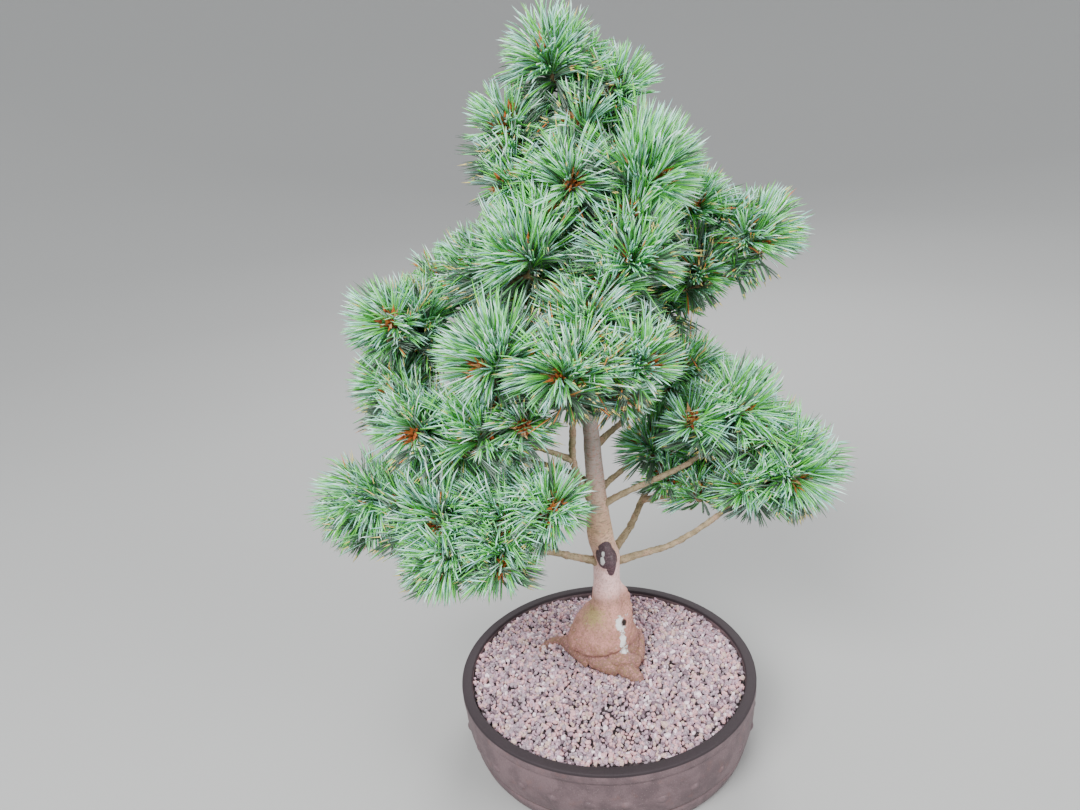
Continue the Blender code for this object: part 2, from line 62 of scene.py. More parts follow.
print("solid model:", [round(v * 1000) for v in solid_box[1] - solid_box[0]], "mm")

# %% Modules and directions
import itertools
import math

import bpy
import numpy as np
from mathutils import Matrix, Quaternion, Vector, noise

UP = Vector((0, 0, 1))
MM = 0.001
GOLDEN = math.radians(137.5)

# %% [markdown]
# ## The view
# The photograph looks down on the tree from close by. The camera's place, its downward pitch and
# its small roll were worked out from the ellipses of the pot's rim and foot. A camera is built from
# three axes here, because a matrix states the roll exactly and needs no target object.

# %% Camera
CAMERA_PLACE = Vector((-0.048, -0.705, 0.616))
PITCH = math.radians(19.2)
ROLL = math.radians(-4.6)
PICTURE_WIDTH = 1080
FOCAL_PIXELS = 800


def aim_camera():
    forward = Vector((0, math.cos(PITCH), -math.sin(PITCH)))
    level = Vector((1, 0, 0))
    above = level.cross(forward)
    right = math.cos(ROLL) * level + math.sin(ROLL) * above
    top = math.cos(ROLL) * above - math.sin(ROLL) * level
    turned = Matrix((right, top, -forward)).transposed().to_4x4()
    lens = bpy.data.cameras.new("view")
    lens.sensor_width = 36
    lens.lens = lens.sensor_width * FOCAL_PIXELS / PICTURE_WIDTH
    camera = bpy.data.objects.new("view", lens)
    camera.matrix_world = Matrix.Translation(CAMERA_PLACE) @ turned
    bpy.context.scene.collection.objects.link(camera)
    bpy.context.scene.camera = camera
    return camera


print("lens:", round(aim_camera().data.lens, 2), "mm")

# %% [markdown]
# ## Writing finishes as sums
# A finish is a small network of nodes. Wiring it by hand takes many lines, so one class wraps a
# socket and lets ordinary sums add the nodes: values become Math nodes, and vectors become Vector
# Math nodes. Every other node comes from one method that sets its settings first and then its
# sockets. Colours are stated as a screen shows them, 0 to 255, and turned into light on the way in.

# %% Sums on sockets
def operator(operation, reflected=False):
    """A method that writes a sum of two values as one node."""

    def method(self, other):
        first, second = (other, self) if reflected else (self, other)
        kind = "ShaderNodeMath" if self.socket.type == "VALUE" else "ShaderNodeVectorMath"
        return self.finish.add(kind, {"operation": operation}, {0: first, 1: second})

    return method


class Wire:
    """A node's output socket that can be used in sums."""

    def __init__(self, finish, socket):
        self.finish = finish
        self.socket = socket

    __add__, __radd__ = operator("ADD"), operator("ADD", reflected=True)
    __sub__, __rsub__ = operator("SUBTRACT"), operator("SUBTRACT", reflected=True)
    __mul__, __rmul__ = operator("MULTIPLY"), operator("MULTIPLY", reflected=True)
    __truediv__, __rtruediv__ = operator("DIVIDE"), operator("DIVIDE", reflected=True)


def light(shade):
    """A colour in screen values as the shader wants it."""
    parts = [((v / 255 + 0.055) / 1.055) ** 2.4 if v > 10 else v / 255 / 12.92 for v in shade]
    return (*parts, 1)


print("sums ready")

# %% Finishes
class Finish:
    """A material and the ways to add to its nodes. Sizes are in metres."""

    def __init__(self, name, sockets):
        self.material = bpy.data.materials.new(name)
        self.material.use_nodes = True
        self.tree = self.material.node_tree
        self.put(sockets)

    def put(self, sockets):
        """Sets or feeds the sockets of the shader itself."""
        for key, value in sockets.items():
            self.feed(self.tree.nodes["Principled BSDF"].inputs[key], value)

    def feed(self, socket, value):
        if isinstance(value, Wire):
            self.tree.links.new(value.socket, socket)
        elif socket.type == "VECTOR" and isinstance(value, (int, float)):
            socket.default_value = (value,) * 3
        else:
            socket.default_value = light(value) if socket.type == "RGBA" else value

    def add(self, kind, settings=None, sockets=None, out=0):
        """Adds one node: settings by name (a ramp's stops as pairs), sockets by place or name."""
        node = self.tree.nodes.new(kind)
        for key, value in (settings or {}).items():
            if key == "stops":
                ramp = node.color_ramp
                while len(ramp.elements) < len(value):
                    ramp.elements.new(1)
                for element, (place, shade) in zip(ramp.elements, value):
                    element.position = place
                    element.color = light(shade)
            else:
                setattr(node, key, value)
        by_identifier = {socket.identifier: socket for socket in node.inputs}
        for key, value in (sockets or {}).items():
            self.feed(by_identifier.get(key) or node.inputs[key], value)
        return Wire(self, node.outputs[out])

    def place(self):
        """Where a point of the surface is."""
        return self.add("ShaderNodeTexCoord", out="Object")

    def height(self):
        return self.add("ShaderNodeSeparateXYZ", None, {0: self.place()}, out="Z")

    def cloud(self, size, detail=3, rough=0.5, at=None, turn=0.0):
        """Soft noise from 0 to 1 whose lumps have this size."""
        sockets = {"Vector": at or self.place(), "Scale": 1 / size, "Detail": detail}
        sockets |= {"Roughness": rough, "Distortion": turn}
        return self.add("ShaderNodeTexNoise", None, sockets)

    def cells(self, size, at=None):
        """Distance to the nearest of scattered points, in cell sizes."""
        return self.add("ShaderNodeTexVoronoi", None, {"Vector": at or self.place(), "Scale": 1 / size})

    def step(self, value, start, end):
        """0 at the first bound, 1 at the second, softly between. The first may be the larger."""
        smooth = {"interpolation_type": "SMOOTHSTEP"}
        return self.add("ShaderNodeMapRange", smooth, {0: value, 1: start, 2: end})

    def mix(self, share, low, high):
        """A colour between two colours."""
        sockets = {"Factor_Float": share, "A_Color": low, "B_Color": high}
        return self.add("ShaderNodeMix", {"data_type": "RGBA"}, sockets, out=2)

    def coat(self, base, value, start, end, share, shade):
        """A shade laid over a colour where a value passes from one bound to the other."""
        return self.mix(self.step(value, start, end) * share, base, shade)

    def ramp(self, value, stops):
        return self.add("ShaderNodeValToRGB", {"stops": stops}, {0: value})

    def spot(self, centre, radii):
        """Distance from a centre in units of an ellipsoid's radii, which are in mm."""
        offset = (self.place() / MM - centre) / radii
        return self.add("ShaderNodeVectorMath", {"operation": "LENGTH"}, {0: offset}, out="Value")

    def patches(self, areas, ragged, sharp):
        """1 inside any of some ragged ellipsoids and 0 outside, from a share of their radii on."""
        whole = 0.0
        for area in areas:
            mask = self.step(self.spot(*area) + ragged, 1.0, sharp)
            whole = self.add("ShaderNodeMath", {"operation": "MAXIMUM"}, {0: whole, 1: mask})
        return whole

    def relief(self, height, depth):
        """Turns a height from 0 to 1 into a dent or rise of this depth."""
        self.put({"Normal": self.add("ShaderNodeBump", None, {"Height": height, "Distance": depth})})


print("finishes ready")

# %% [markdown]
# ## From arrays to pieces
# Needles and stones come by the thousand. Adding them one at a time through Blender's operators
# would take minutes, so their points and faces are worked out in NumPy and handed over at once.

# %% Mesh helpers
def make_piece(name, points, quads, triangles, finishes, tints=None, smooth=True):
    """A mesh object from arrays. Tints number each face's finish, quads first."""
    quads = np.asarray(quads, np.int32).reshape(-1, 4)
    triangles = np.asarray(triangles, np.int32).reshape(-1, 3)
    mesh = bpy.data.meshes.new(name)
    mesh.vertices.add(len(points))
    mesh.vertices.foreach_set("co", np.asarray(points, np.float32).ravel())
    corners = np.concatenate([quads.ravel(), triangles.ravel()])
    mesh.loops.add(len(corners))
    mesh.loops.foreach_set("vertex_index", corners)
    starts = np.concatenate([4 * np.arange(len(quads)), quads.size + 3 * np.arange(len(triangles))])
    mesh.polygons.add(len(starts))
    mesh.polygons.foreach_set("loop_start", starts.astype(np.int32))
    mesh.polygons.foreach_set("use_smooth", np.full(len(starts), smooth))
    if tints is not None:
        mesh.polygons.foreach_set("material_index", np.asarray(tints, np.int32))
    mesh.update(calc_edges=True)
    mesh.validate()
    for finish in finishes:
        mesh.materials.append(finish.material)
    piece = bpy.data.objects.new(name, mesh)
    bpy.context.scene.collection.objects.link(piece)
    return piece


def stacked(rings, closed=True):
    """Points, quads and end triangles of a skin over an array of rings of points."""
    count, sides = rings.shape[:2]
    low = np.arange(count - 1)[:, None] * sides
    side = np.arange(sides)[None, :]
    after = (side + 1) % sides
    quads = np.stack([low + side, low + after, low + sides + after, low + sides + side], -1)
    triangles = []
    if closed:
        last = (count - 1) * sides
        triangles = [(0, s + 1, s) for s in range(1, sides - 1)]
        triangles += [(last, last + s, last + s + 1) for s in range(1, sides - 1)]
    return rings.reshape(-1, 3), quads.reshape(-1, 4), triangles


def lumps(points, size, shift=0.0):
    """Smooth noise from -1 to 1 at each point, with lumps of this size."""
    moved = np.asarray(points, float).reshape(-1, 3) / size + shift
    return np.array([noise.noise(Vector(point)) for point in moved])


def settle(piece, slot, *nodes):
    """Fastens a piece to the plant and hides the solids that it stands for. The slot is not used."""
    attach(piece, "root")
    if nodes:
        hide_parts(*nodes)
    print(f"{piece.name}: {len(piece.data.polygons)} faces")


# %% [markdown]
# ## The pot
# A round training pot of dark brown plastic with mineral flakes in it: flat lip, slightly bellied
# wall with a row of low round bosses, a groove and a sloping foot band. A turned profile is the
# natural way to make it. The bosses are pushed out of the wall itself, so that they have soft
# moulded edges and leave no seam.

# %% Pot sizes, measured on its solid
pot_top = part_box("pot")[1]
POT_RADIUS = pot_top.x
POT_HEIGHT = pot_top.z
LIP_WIDTH = 10.2 * MM
FLOOR_RADIUS = 133 * MM
FLOOR = 8 * MM
HOLE_RADIUS = 20 * MM
GROOVE_HEIGHT = 18.8 * MM
# How far the inner wall stands out from the lip's inner edge, and its depth there, in mm
INSIDE = ((-2.2, 22), (-0.7, 6), (0, 1.2), (0.4, 0.35), (1.2, 0))
# Depth below the lip and how far the outer wall stands in from the lip's edge there, in mm
WALL = (
    (0.0, 1.4), (0.25, 0.6), (0.9, 0.1), (1.8, 0.0), (9.6, 0.0), (10.9, 0.25), (11.6, 0.9),
    (12.2, 1.35), (13.5, 1.2), (18, 1.1), (24, 1.25), (30, 1.5), (36, 1.9), (42, 2.7), (48, 3.9),
    (53, 5.1), (55.2, 5.8), (56.2, 7.3), (57.2, 8.3), (58.4, 7.6), (59.8, 6.8), (62, 7.2), (66, 8.3),
    (70, 9.6), (74.5, 12.2), (76, 13.4),
)
BOSSES = 28
BOSS_RADIUS = 4.2 * MM
BOSS_RISE = 1.7 * MM
BOSS_DEPTH = 37 * MM
BOSS_BAND = (30, 42)
BOSS_SPLITS = 12

# %% Pot finish
def pot_finish():
    finish = Finish("pot_skin", {"Specular IOR Level": 0.45})
    blotch = finish.cloud(24 * MM, 4, 0.6, turn=0.4)
    speck = finish.cloud(1.3 * MM, 2, 0.7)
    brown = finish.mix(finish.step(blotch, 0.38, 0.66), (88, 72, 76), (110, 90, 94))
    warm = finish.coat(brown, finish.cloud(11 * MM, 3, 0.6), 0.56, 0.72, 0.30, (118, 82, 76))
    grained = finish.coat(warm, speck, 0.45, 0.75, 0.35, (60, 52, 52))
    flaked = finish.coat(grained, finish.cells(2.4 * MM), 0.22, 0.10, 0.35, (150, 138, 134))
    height = finish.height()
    lip = finish.step(height, POT_HEIGHT - 3.6 * MM, POT_HEIGHT - 2.6 * MM)
    dark = finish.mix(lip * 0.95, flaked, (38, 29, 34))
    # The groove is painted dark red-brown: painted shade in its recess.
    off_groove = finish.add("ShaderNodeMath", {"operation": "ABSOLUTE"}, {0: height - GROOVE_HEIGHT})
    finish.put({"Base Color": finish.coat(dark, off_groove, 2.2 * MM, 0.0, 0.75, (58, 36, 32))})
    finish.put({"Roughness": 0.40 + 0.22 * speck + 0.12 * blotch + 0.18 * lip})
    finish.relief(speck * 0.6 + 0.4 * finish.cloud(4 * MM, 2), 0.22 * MM)
    return finish


# %% Pot mesh
def outer_wall():
    """Depth and inset down the outer wall, with finer steps across the bosses."""
    for (depth, inset), (next_depth, next_inset) in zip(WALL, WALL[1:]):
        splits = BOSS_SPLITS if BOSS_BAND[0] <= depth < BOSS_BAND[1] else 1
        for share in np.arange(splits) / splits:
            yield depth + (next_depth - depth) * share, inset + (next_inset - inset) * share
    yield WALL[-1]


def pot_ring(radius, height, bearings):
    """One ring of the pot, with its bosses and a slight sway in the moulding."""
    pitch = math.tau / BOSSES
    aside = (bearings + math.pi / 2 + pitch / 2) % pitch - pitch / 2
    away = np.hypot(aside * radius, height - (POT_HEIGHT - BOSS_DEPTH)) / BOSS_RADIUS
    reach = radius + 0 * bearings
    if radius > FLOOR_RADIUS:
        reach += 0.25 * MM * np.sin(3 * bearings + 40 * height)
    if radius > 0.13:
        reach += BOSS_RISE * np.clip(1 - away**2, 0, None) ** 0.6
    return np.stack([reach * np.cos(bearings), reach * np.sin(bearings), 0 * away + height], -1)


def make_pot():
    sides = BOSSES * 20
    bearings = math.tau * np.arange(sides) / sides - math.pi / 2
    inner = POT_RADIUS - LIP_WIDTH
    rows = [(FLOOR_RADIUS, FLOOR)] + [(inner + out * MM, POT_HEIGHT - down * MM) for out, down in INSIDE]
    rows += [(POT_RADIUS - inset * MM, POT_HEIGHT - depth * MM) for depth, inset in outer_wall()]
    rows += [(HOLE_RADIUS, 0.0), (HOLE_RADIUS, FLOOR)]
    points, quads, _ = stacked(np.array([pot_ring(*row, bearings) for row in rows]), closed=False)
    last = (len(rows) - 1) * sides
    side = np.arange(sides)
    after = (side + 1) % sides
    closing = np.stack([last + side, last + after, after, side], -1)
    return make_piece("pot_shell", points, np.concatenate([quads, closing])[:, ::-1], (), [pot_finish()])


settle(make_pot(), "pot", "pot")

# %% [markdown]
# ## The gravel
# Crushed stone of 4 to 6 mm in grey, lilac, pink and buff. One bumpy surface would look like
# sand from above, so each stone is its own small many-sided chip. The chips share six finishes,
# dealt out at random. A dark bed under them is painted shade: it shows in the gaps, darker still in
# its hollows. The solid's surface runs along the middle of the stones, over the same shallow heaps.

# %% Stone finishes
STONE_TINTS = {
    "lilac": (184, 154, 168), "grey": (166, 148, 158), "pink": (212, 168, 172),
    "buff": (204, 176, 168), "dark": (122, 102, 112), "pale": (234, 214, 222),
}
STONE_SHARES = (0.27, 0.24, 0.20, 0.11, 0.11, 0.07)


def stone_finish(name, shade):
    finish = Finish("stone_" + name, {"Specular IOR Level": 0.3, "Roughness": 0.88})
    grain = finish.cloud(0.9 * MM, 2, 0.6)
    deep, pale = [v - 34 for v in shade], [min(255, v + 22) for v in shade]
    finish.put({"Base Color": finish.mix(finish.step(grain, 0.3, 0.7), deep, pale)})
    finish.relief(grain, 0.25 * MM)
    return finish


def gap_shade_finish():
    finish = Finish("gap_shade", {"Roughness": 0.95, "Specular IOR Level": 0.2})
    grain = finish.cells(3.2 * MM)
    # The bed is painted shade for the gaps between stones, darker still in its hollows.
    finish.put({"Base Color": finish.mix(finish.step(grain, 0.1, 0.7), (96, 84, 86), (40, 34, 36))})
    finish.relief(1 - grain, 1.2 * MM)
    return finish


# %% The ground's shape
GROUND = 80 * MM
GRAVEL_EDGE = 71.5 * MM
HEAP_RISE = 1.6 * MM
HEAPS_APART = 24 * MM
BED_DEPTH = 2.6 * MM
SEAT_RADIUS = 56 * MM
GRAVEL_RADIUS = POT_RADIUS - LIP_WIDTH


def ground_height(x, y):
    """The gravel's height at a place: level at the foot, lower at the lip, with heaps between."""
    edge = GRAVEL_RADIUS - 0.8 * MM
    share = np.clip((edge - np.hypot(x, y)) / (edge - SEAT_RADIUS), 0, 1)
    along, beside = math.pi * x / HEAPS_APART, math.pi * y / HEAPS_APART
    heap = HEAP_RISE * np.sin(along + 0.4 * np.sin(beside)) * np.sin(beside + 1.1)
    fade = np.clip(10 * share, 0, 1) * np.clip(10 * (1 - share), 0, 1)
    return GRAVEL_EDGE + (GROUND - GRAVEL_EDGE) * (1 - np.cos(math.pi * share)) / 2 + heap * fade


def make_bed():
    """Points and quads of the dark bed of painted shade under the stones, out to the pot's wall."""
    turn = math.tau * np.arange(96) / 96
    radii = np.linspace(20 * MM, GRAVEL_RADIUS - 1.2 * MM, 34)[:, None]
    x, y = radii * np.cos(turn), radii * np.sin(turn)
    return stacked(np.stack([x, y, ground_height(x, y) - BED_DEPTH], -1), closed=False)[:2]


# %% Stones
STONE_SPACING = 4.1 * MM
STONE_SIZE = 2.4 * MM
FOOT_CENTRE = (4.5 * MM, 10 * MM)
FOOT_RADIUS = 24 * MM
CHIP_CORNERS = 12


def chip():
    """Corners and faces of a twenty-sided chip."""
    golden = (1 + 5**0.5) / 2
    corners = np.array([(0, a, b * golden) for a in (-1, 1) for b in (-1, 1)], float)
    corners = np.concatenate([corners, corners[:, [2, 0, 1]], corners[:, [1, 2, 0]]])
    corners /= np.linalg.norm(corners[0])
    faces = []
    for face in itertools.combinations(range(CHIP_CORNERS), 3):
        one, two, three = corners[list(face)]
        if max(np.linalg.norm(side) for side in (one - two, two - three, three - one)) < 1.1:
            outward = np.dot(np.cross(two - one, three - one), one) > 0
            faces.append(face if outward else face[::-1])
    return corners, np.array(faces)


def stone_places(rng):
    """Where stones lie: a packed layer and some on top of it, clear of the wall and the trunk."""
    span = np.arange(-0.144, 0.144, STONE_SPACING)
    x, y = np.meshgrid(span, span * 0.92)
    x = x + (np.arange(len(span)) % 2)[:, None] * STONE_SPACING / 2
    places = np.stack([x.ravel(), y.ravel()], 1)
    extra = places[rng.random(len(places)) < 0.42] + STONE_SPACING * 0.5
    layer = np.concatenate([np.zeros(len(places)), np.ones(len(extra))])
    places = np.concatenate([places, extra]) + rng.normal(0, 0.9 * MM, (len(layer), 2))
    keep = np.hypot(*places.T) < GRAVEL_RADIUS - 2.4 * MM
    keep &= np.hypot(*(places - FOOT_CENTRE).T) > FOOT_RADIUS
    return places[keep], layer[keep]


def make_stones():
    rng = np.random.default_rng(5)
    places, layer = stone_places(rng)
    count = len(places)
    size = STONE_SIZE * rng.lognormal(0, 0.17, count)
    height = ground_height(*places.T) + layer * 1.3 * MM + rng.normal(-1.3 * MM, 0.4 * MM, count)
    corners, faces = chip()
    shape = corners[None] * (1 + rng.uniform(-0.34, 0.24, (count, CHIP_CORNERS, 1)))
    shape = shape * rng.uniform(0.62, 1.28, (count, 1, 3)) * size[:, None, None]
    turns = np.array([Quaternion(row).normalized().to_matrix() for row in rng.normal(size=(count, 4))])
    points = np.einsum("nij,nvj->nvi", turns, shape) + np.column_stack([places, height])[:, None]
    bed_points, bed_quads = make_bed()
    first = len(bed_points) + CHIP_CORNERS * np.arange(count)
    triangles = faces[None] + first[:, None, None]
    points = np.concatenate([bed_points, points.reshape(-1, 3)])
    tints = np.repeat(rng.choice(len(STONE_TINTS), count, p=STONE_SHARES), len(faces))
    tints = np.concatenate([np.full(len(bed_quads), len(STONE_TINTS)), tints])
    finishes = [stone_finish(*row) for row in STONE_TINTS.items()] + [gap_shade_finish()]
    print(count, "stones")
    return make_piece("gravel_stones", points, bed_quads, triangles, finishes, tints, smooth=False)


settle(make_stones(), "gravel", "gravel")

# %% [markdown]
# ## The limbs' lines
# The trunk, the boughs and the stems of the foliage follow the same lines as the solid model: a few
# points each, joined by a smooth curve, with a radius that tapers. They are stated again here
# because bark, twigs and needles all grow from them.

# %% Trunk and boughs
# x, y, height and radius of the trunk's axis, in mm
TRUNK = (
    (4.5, 10.0, 80.3, 30.5), (2.0, 11.0, 92, 34.0), (-0.5, 12.0, 104, 34.0), (0.5, 12.5, 120, 31.0),
    (3.5, 13.0, 134, 25.0), (5.0, 13.5, 142.5, 17.2), (5.5, 14.0, 159, 15.2), (6.5, 14.0, 183, 15.0),
    (7.2, 14.0, 199, 15.2), (2.8, 14.0, 218, 13.8), (1.0, 14.0, 245, 11.6), (0.8, 14.0, 268, 9.8),
    (-0.8, 14.0, 325, 8.0), (0.0, 14.0, 370, 7.2), (14.0, 14.0, 460, 6.0), (13.5, 14.0, 500, 5.3),
    (6.0, 14.0, 570, 4.2), (-8.0, 14.0, 638, 3.1),
)
# Radii at root and tip, and the points of the axis, in mm
BOUGHS = {
    "low_left_bough": (5.0, 3.6, ((2, 14, 191), (-25, 0, 207), (-48, -11, 221), (-78, -25, 236))),
    "low_right_bough": (4.6, 2.8, (
        (8, 14, 188), (51, 10, 201), (71, 5, 209), (97, 0, 226), (122, -8, 249), (138, -12, 262))),
    "back_right_bough": (5.0, 3.4, ((8, 16, 193), (34, 40, 212), (49, 55, 232), (63, 67, 252), (78, 76, 272))),
    "right_low_bough": (3.4, 2.2, ((52, 57, 236), (78, 51, 241), (98, 40, 252), (107, 35, 264))),
    "right_bough": (4.2, 2.8, ((1, 13, 254), (33, 7, 272), (72, 2, 290), (96, 0, 303), (112, 0, 319))),
    "right_inner_bough": (4.2, 3.0, ((1, 16, 270), (24, 30, 280), (45, 38, 292))),
    "back_left_bough": (4.0, 2.8, ((0, 14, 277), (-30, 34, 288), (-62, 54, 291), (-84, 66, 291))),
    "front_stem": (5.0, 3.6, ((0, 14, 254), (-15, 4, 286), (-21, -6, 316), (-20, -21, 350), (-19, -36, 378))),
    "left_bough": (3.4, 2.4, ((-20.5, -5, 314), (-42, -15, 329), (-60, -22, 339), (-77, -29, 349))),
    "back_bough": (4.4, 3.0, ((0, 14, 298), (3, 45, 316), (1, 70, 336), (-2, 92, 350))),
    "right_back_bough": (4.0, 2.6, ((0, 14, 318), (30, 32, 334), (56, 43, 346), (74, 49, 354))),
    "back_high_bough": (4.0, 2.8, ((0, 14, 342), (-28, 38, 360), (-54, 58, 380))),
    "front_left_bough": (3.8, 2.6, ((0, 14, 352), (-28, -10, 372), (-52, -31, 396), (-62, -38, 407))),
    "left_high_bough": (4.2, 2.6, ((1, 14, 376), (-45, 14, 394), (-90, 20, 412), (-122, 25, 424))),
    "back_mid_bough": (3.6, 2.6, ((4, 14, 392), (22, 38, 404), (36, 56, 412))),
    "mid_right_bough": (3.6, 2.4, ((11, 14, 440), (48, 16, 452), (80, 19, 462))),
}
# A bough's radius at its root and soon after it, as shares of its plain taper
COLLAR = (1.45, 1.12, 1.0)


def smooth(points, steps):
    """Rows on a smooth curve through the given rows, with this many steps to a span."""
    points = np.asarray(points, float)
    ends = np.concatenate([[2 * points[0] - points[1]], points, [2 * points[-1] - points[-2]]])
    t = (np.arange(steps) / steps)[None, :, None]
    before, start, end, after = (ends[i : len(ends) - 3 + i, None] for i in range(4))
    bend = 2 * before - 5 * start + 4 * end - after
    twist = 3 * start - before - 3 * end + after
    curve = start + 0.5 * t * (end - before + t * (bend + t * twist))
    return np.concatenate([curve.reshape(-1, points.shape[1]), points[-1:]])


def bough_line(name, steps):
    """A bough's axis and radii, with a collar where it leaves its parent."""
    root, tip, points = BOUGHS[name]
    route = smooth(points, steps) * MM
    share = np.linspace(0, 1, len(route))
    collar = np.interp(share * (len(points) - 1) * 2, range(3), COLLAR)
    return route, (root + (tip - root) * share) * MM * collar


print(len(BOUGHS), "boughs")

# %% [markdown]
# ## Bark
# Young white pine bark is thin and smooth, olive-grey with short cross marks on the upper stem and
# boughs, pinkish tan below the lowest bough, and brown and lumpy on the rooted base, darker at its
# foot with dirt and painted shade. The large relief is modelled, because it changes the outline; only
# the fine grain is left to a bump. Dark purple-brown paste covers an old wound, with two painted
# glints on it. Resin has dried white round a knot below, whose hollow is painted dark as shade.

# %% Where the bark differs
# Centres and radii of ellipsoids, in mm
PASTE = (
    ((6.5, -1.5, 203.5), (14.5, 9.0, 13.0)), ((6.5, -2.5, 214.0), (9.5, 8.0, 8.0)),
    ((10.8, -1.0, 193.0), (5.4, 7.0, 12.0)),
)
# White resin round the knot below; the first two, on the paste, are painted glints.
RESIN_AND_GLINTS = (
    ((1.6, -2.4, 201.0), (2.4, 6.0, 6.0)), ((2.6, -3.0, 208.5), (1.8, 6.0, 3.4)),
    ((16.5, -12.0, 132.0), (6.2, 10.0, 9.0)), ((24.5, -8.0, 137.5), (3.8, 10.0, 4.4)),
    ((17.5, -17.0, 115.0), (4.0, 10.0, 12.0)), ((20.0, -17.0, 104.0), (7.5, 10.0, 4.0)),
)
# The knot's hollow, painted near black: painted shade.
KNOT = ((20.8, -10.5, 130.8), (4.4, 9.0, 4.2))
MOSS = ((-13, -3, 139), (12, 16, 9))
# The bark's colour at shares of the height from ZONE_LOW up; the lowest stops are darker at the foot, with dirt
# and painted shade
ZONE_LOW = 80 * MM
ZONE_SPAN = 320 * MM
ZONES = (
    (0.00, (98, 72, 72)), (0.055, (128, 92, 92)), (0.10, (184, 130, 122)), (0.20, (214, 156, 146)),
    (0.232, (222, 172, 162)), (0.262, (255, 212, 208)), (0.33, (255, 216, 214)),
    (0.39, (240, 198, 182)), (0.47, (222, 184, 150)), (0.68, (190, 170, 164)), (1.00, (180, 166, 164)),
)

# %% Bark finishes
def trunk_colour(finish, height, blotch, grain, marks, above):
    """Zones up the trunk, with olive and pink flecks, moss, cross marks and pale lichen."""
    below = finish.step(height, 0.158, 0.150)
    flecks = finish.cloud(2.3 * MM, 2, 0.6, turn=0.5)
    moss = finish.spot(*MOSS) + 5 * (flecks - 0.5)
    streak = finish.cloud(2.6 * MM, 3, 0.6, at=finish.place() * (1.0, 1.0, 0.16))
    lichen = finish.cells(5.5 * MM)
    level = height + (blotch - 0.5) * 20 * MM
    # Darker at the foot: dirt and painted shade.
    zones = finish.ramp((level - ZONE_LOW) / ZONE_SPAN, ZONES)
    patchy = finish.coat(zones, blotch, 0.40, 0.62, 0.18 + 0.42 * below, (128, 96, 80))
    olive = finish.coat(patchy, flecks, 0.50, 0.60, 0.55 * below, (150, 122, 84))
    pink = finish.coat(olive, flecks, 0.50, 0.40, 0.5, (198, 140, 130))
    mossy = finish.coat(pink, moss, 1.2, 0.5, 0.6, (158, 156, 84))
    marked = finish.coat(mossy, marks, 0.52, 0.66, 0.62 * above, (128, 116, 92))
    silvery = finish.coat(marked, streak, 0.45, 0.7, 0.6 * finish.step(height, 0.27, 0.33), (168, 164, 156))
    grained = finish.coat(silvery, grain, 0.5, 0.75, 0.28 + 0.34 * below, (96, 70, 62))
    return finish.coat(grained, lichen, 0.2, 0.12, 0.5 * finish.step(blotch, 0.48, 0.6), (188, 182, 168))


def trunk_finish():
    finish = Finish("trunk_skin", {"Specular IOR Level": 0.3})
    height = finish.height()
    blotch = finish.cloud(14 * MM, 4, 0.6)
    grain = finish.cloud(1.6 * MM, 3, 0.65)
    marks = finish.cloud(6 * MM, 3, 0.55, at=finish.place() * (1.0, 1.0, 3.4))
    above = finish.step(height, 0.205, 0.225)
    bare = trunk_colour(finish, height, blotch, grain, marks, above)
    ragged = finish.cloud(3.2 * MM, 3, 0.6) - 0.5
    paste = finish.patches(PASTE, 0.3 * ragged, 0.93)
    knot_shade = finish.patches([KNOT], 0.3 * ragged, 0.75)
    clear = finish.patches(RESIN_AND_GLINTS, 1.5 * ragged, 0.75) * (1 - knot_shade)
    pasted = finish.mix(paste, bare, finish.mix(finish.step(grain, 0.4, 0.7), (78, 60, 66), (104, 84, 90)))
    # The knot's hollow is painted near black as shade.
    knot_shaded = finish.mix(knot_shade, pasted, (40, 30, 28))
    # White resin round the knot, and painted glints on the paste.
    finish.put({"Base Color": finish.mix(clear * 0.92, knot_shaded, (226, 226, 226))})
    finish.put({"Roughness": 0.80 - 0.52 * paste - 0.2 * clear + 0.1 * grain})
    finish.relief(grain * 0.5 + marks * above * 0.5 + clear * 0.8, 0.7 * MM)
    return finish


def bough_finish():
    finish = Finish("bough_skin", {"Specular IOR Level": 0.3})
    blotch = finish.cloud(9 * MM, 4, 0.6)
    grain = finish.cloud(1.1 * MM, 3, 0.65)
    scars = finish.cells(2.6 * MM, at=finish.place() * (1.0, 1.0, 1.5))
    olive = finish.mix(finish.step(blotch, 0.35, 0.68), (176, 156, 126), (138, 122, 94))
    pinkish = finish.coat(olive, finish.cloud(16 * MM, 2), 0.5, 0.68, 0.6, (198, 156, 134))
    scarred = finish.coat(pinkish, scars, 0.42, 0.12, 0.55, (82, 70, 54))
    grey = finish.coat(scarred, grain, 0.52, 0.75, 0.45, (182, 176, 160))
    finish.put({"Base Color": grey, "Roughness": 0.74 + 0.16 * grain})
    finish.relief(grain * 0.5 + scars * 0.5, 0.6 * MM)
    return finish


# %% Trunk mesh
TRUNK_SIDES = 120
TRUNK_STEPS = 20
# Bearing in degrees, reach past the trunk, half width in degrees, height of its middle and half height
SWELLINGS = (
    (-60, 20.0, 15, 80, 13), (141, 20.0, 15, 80, 12), (-128, -11.0, 32, 80, 11), (22, 4.0, 22, 88, 24),
    (-170, 5.0, 26, 103, 16), (15, 10.0, 17, 147, 13), (-90, 2.8, 36, 198, 12),
)
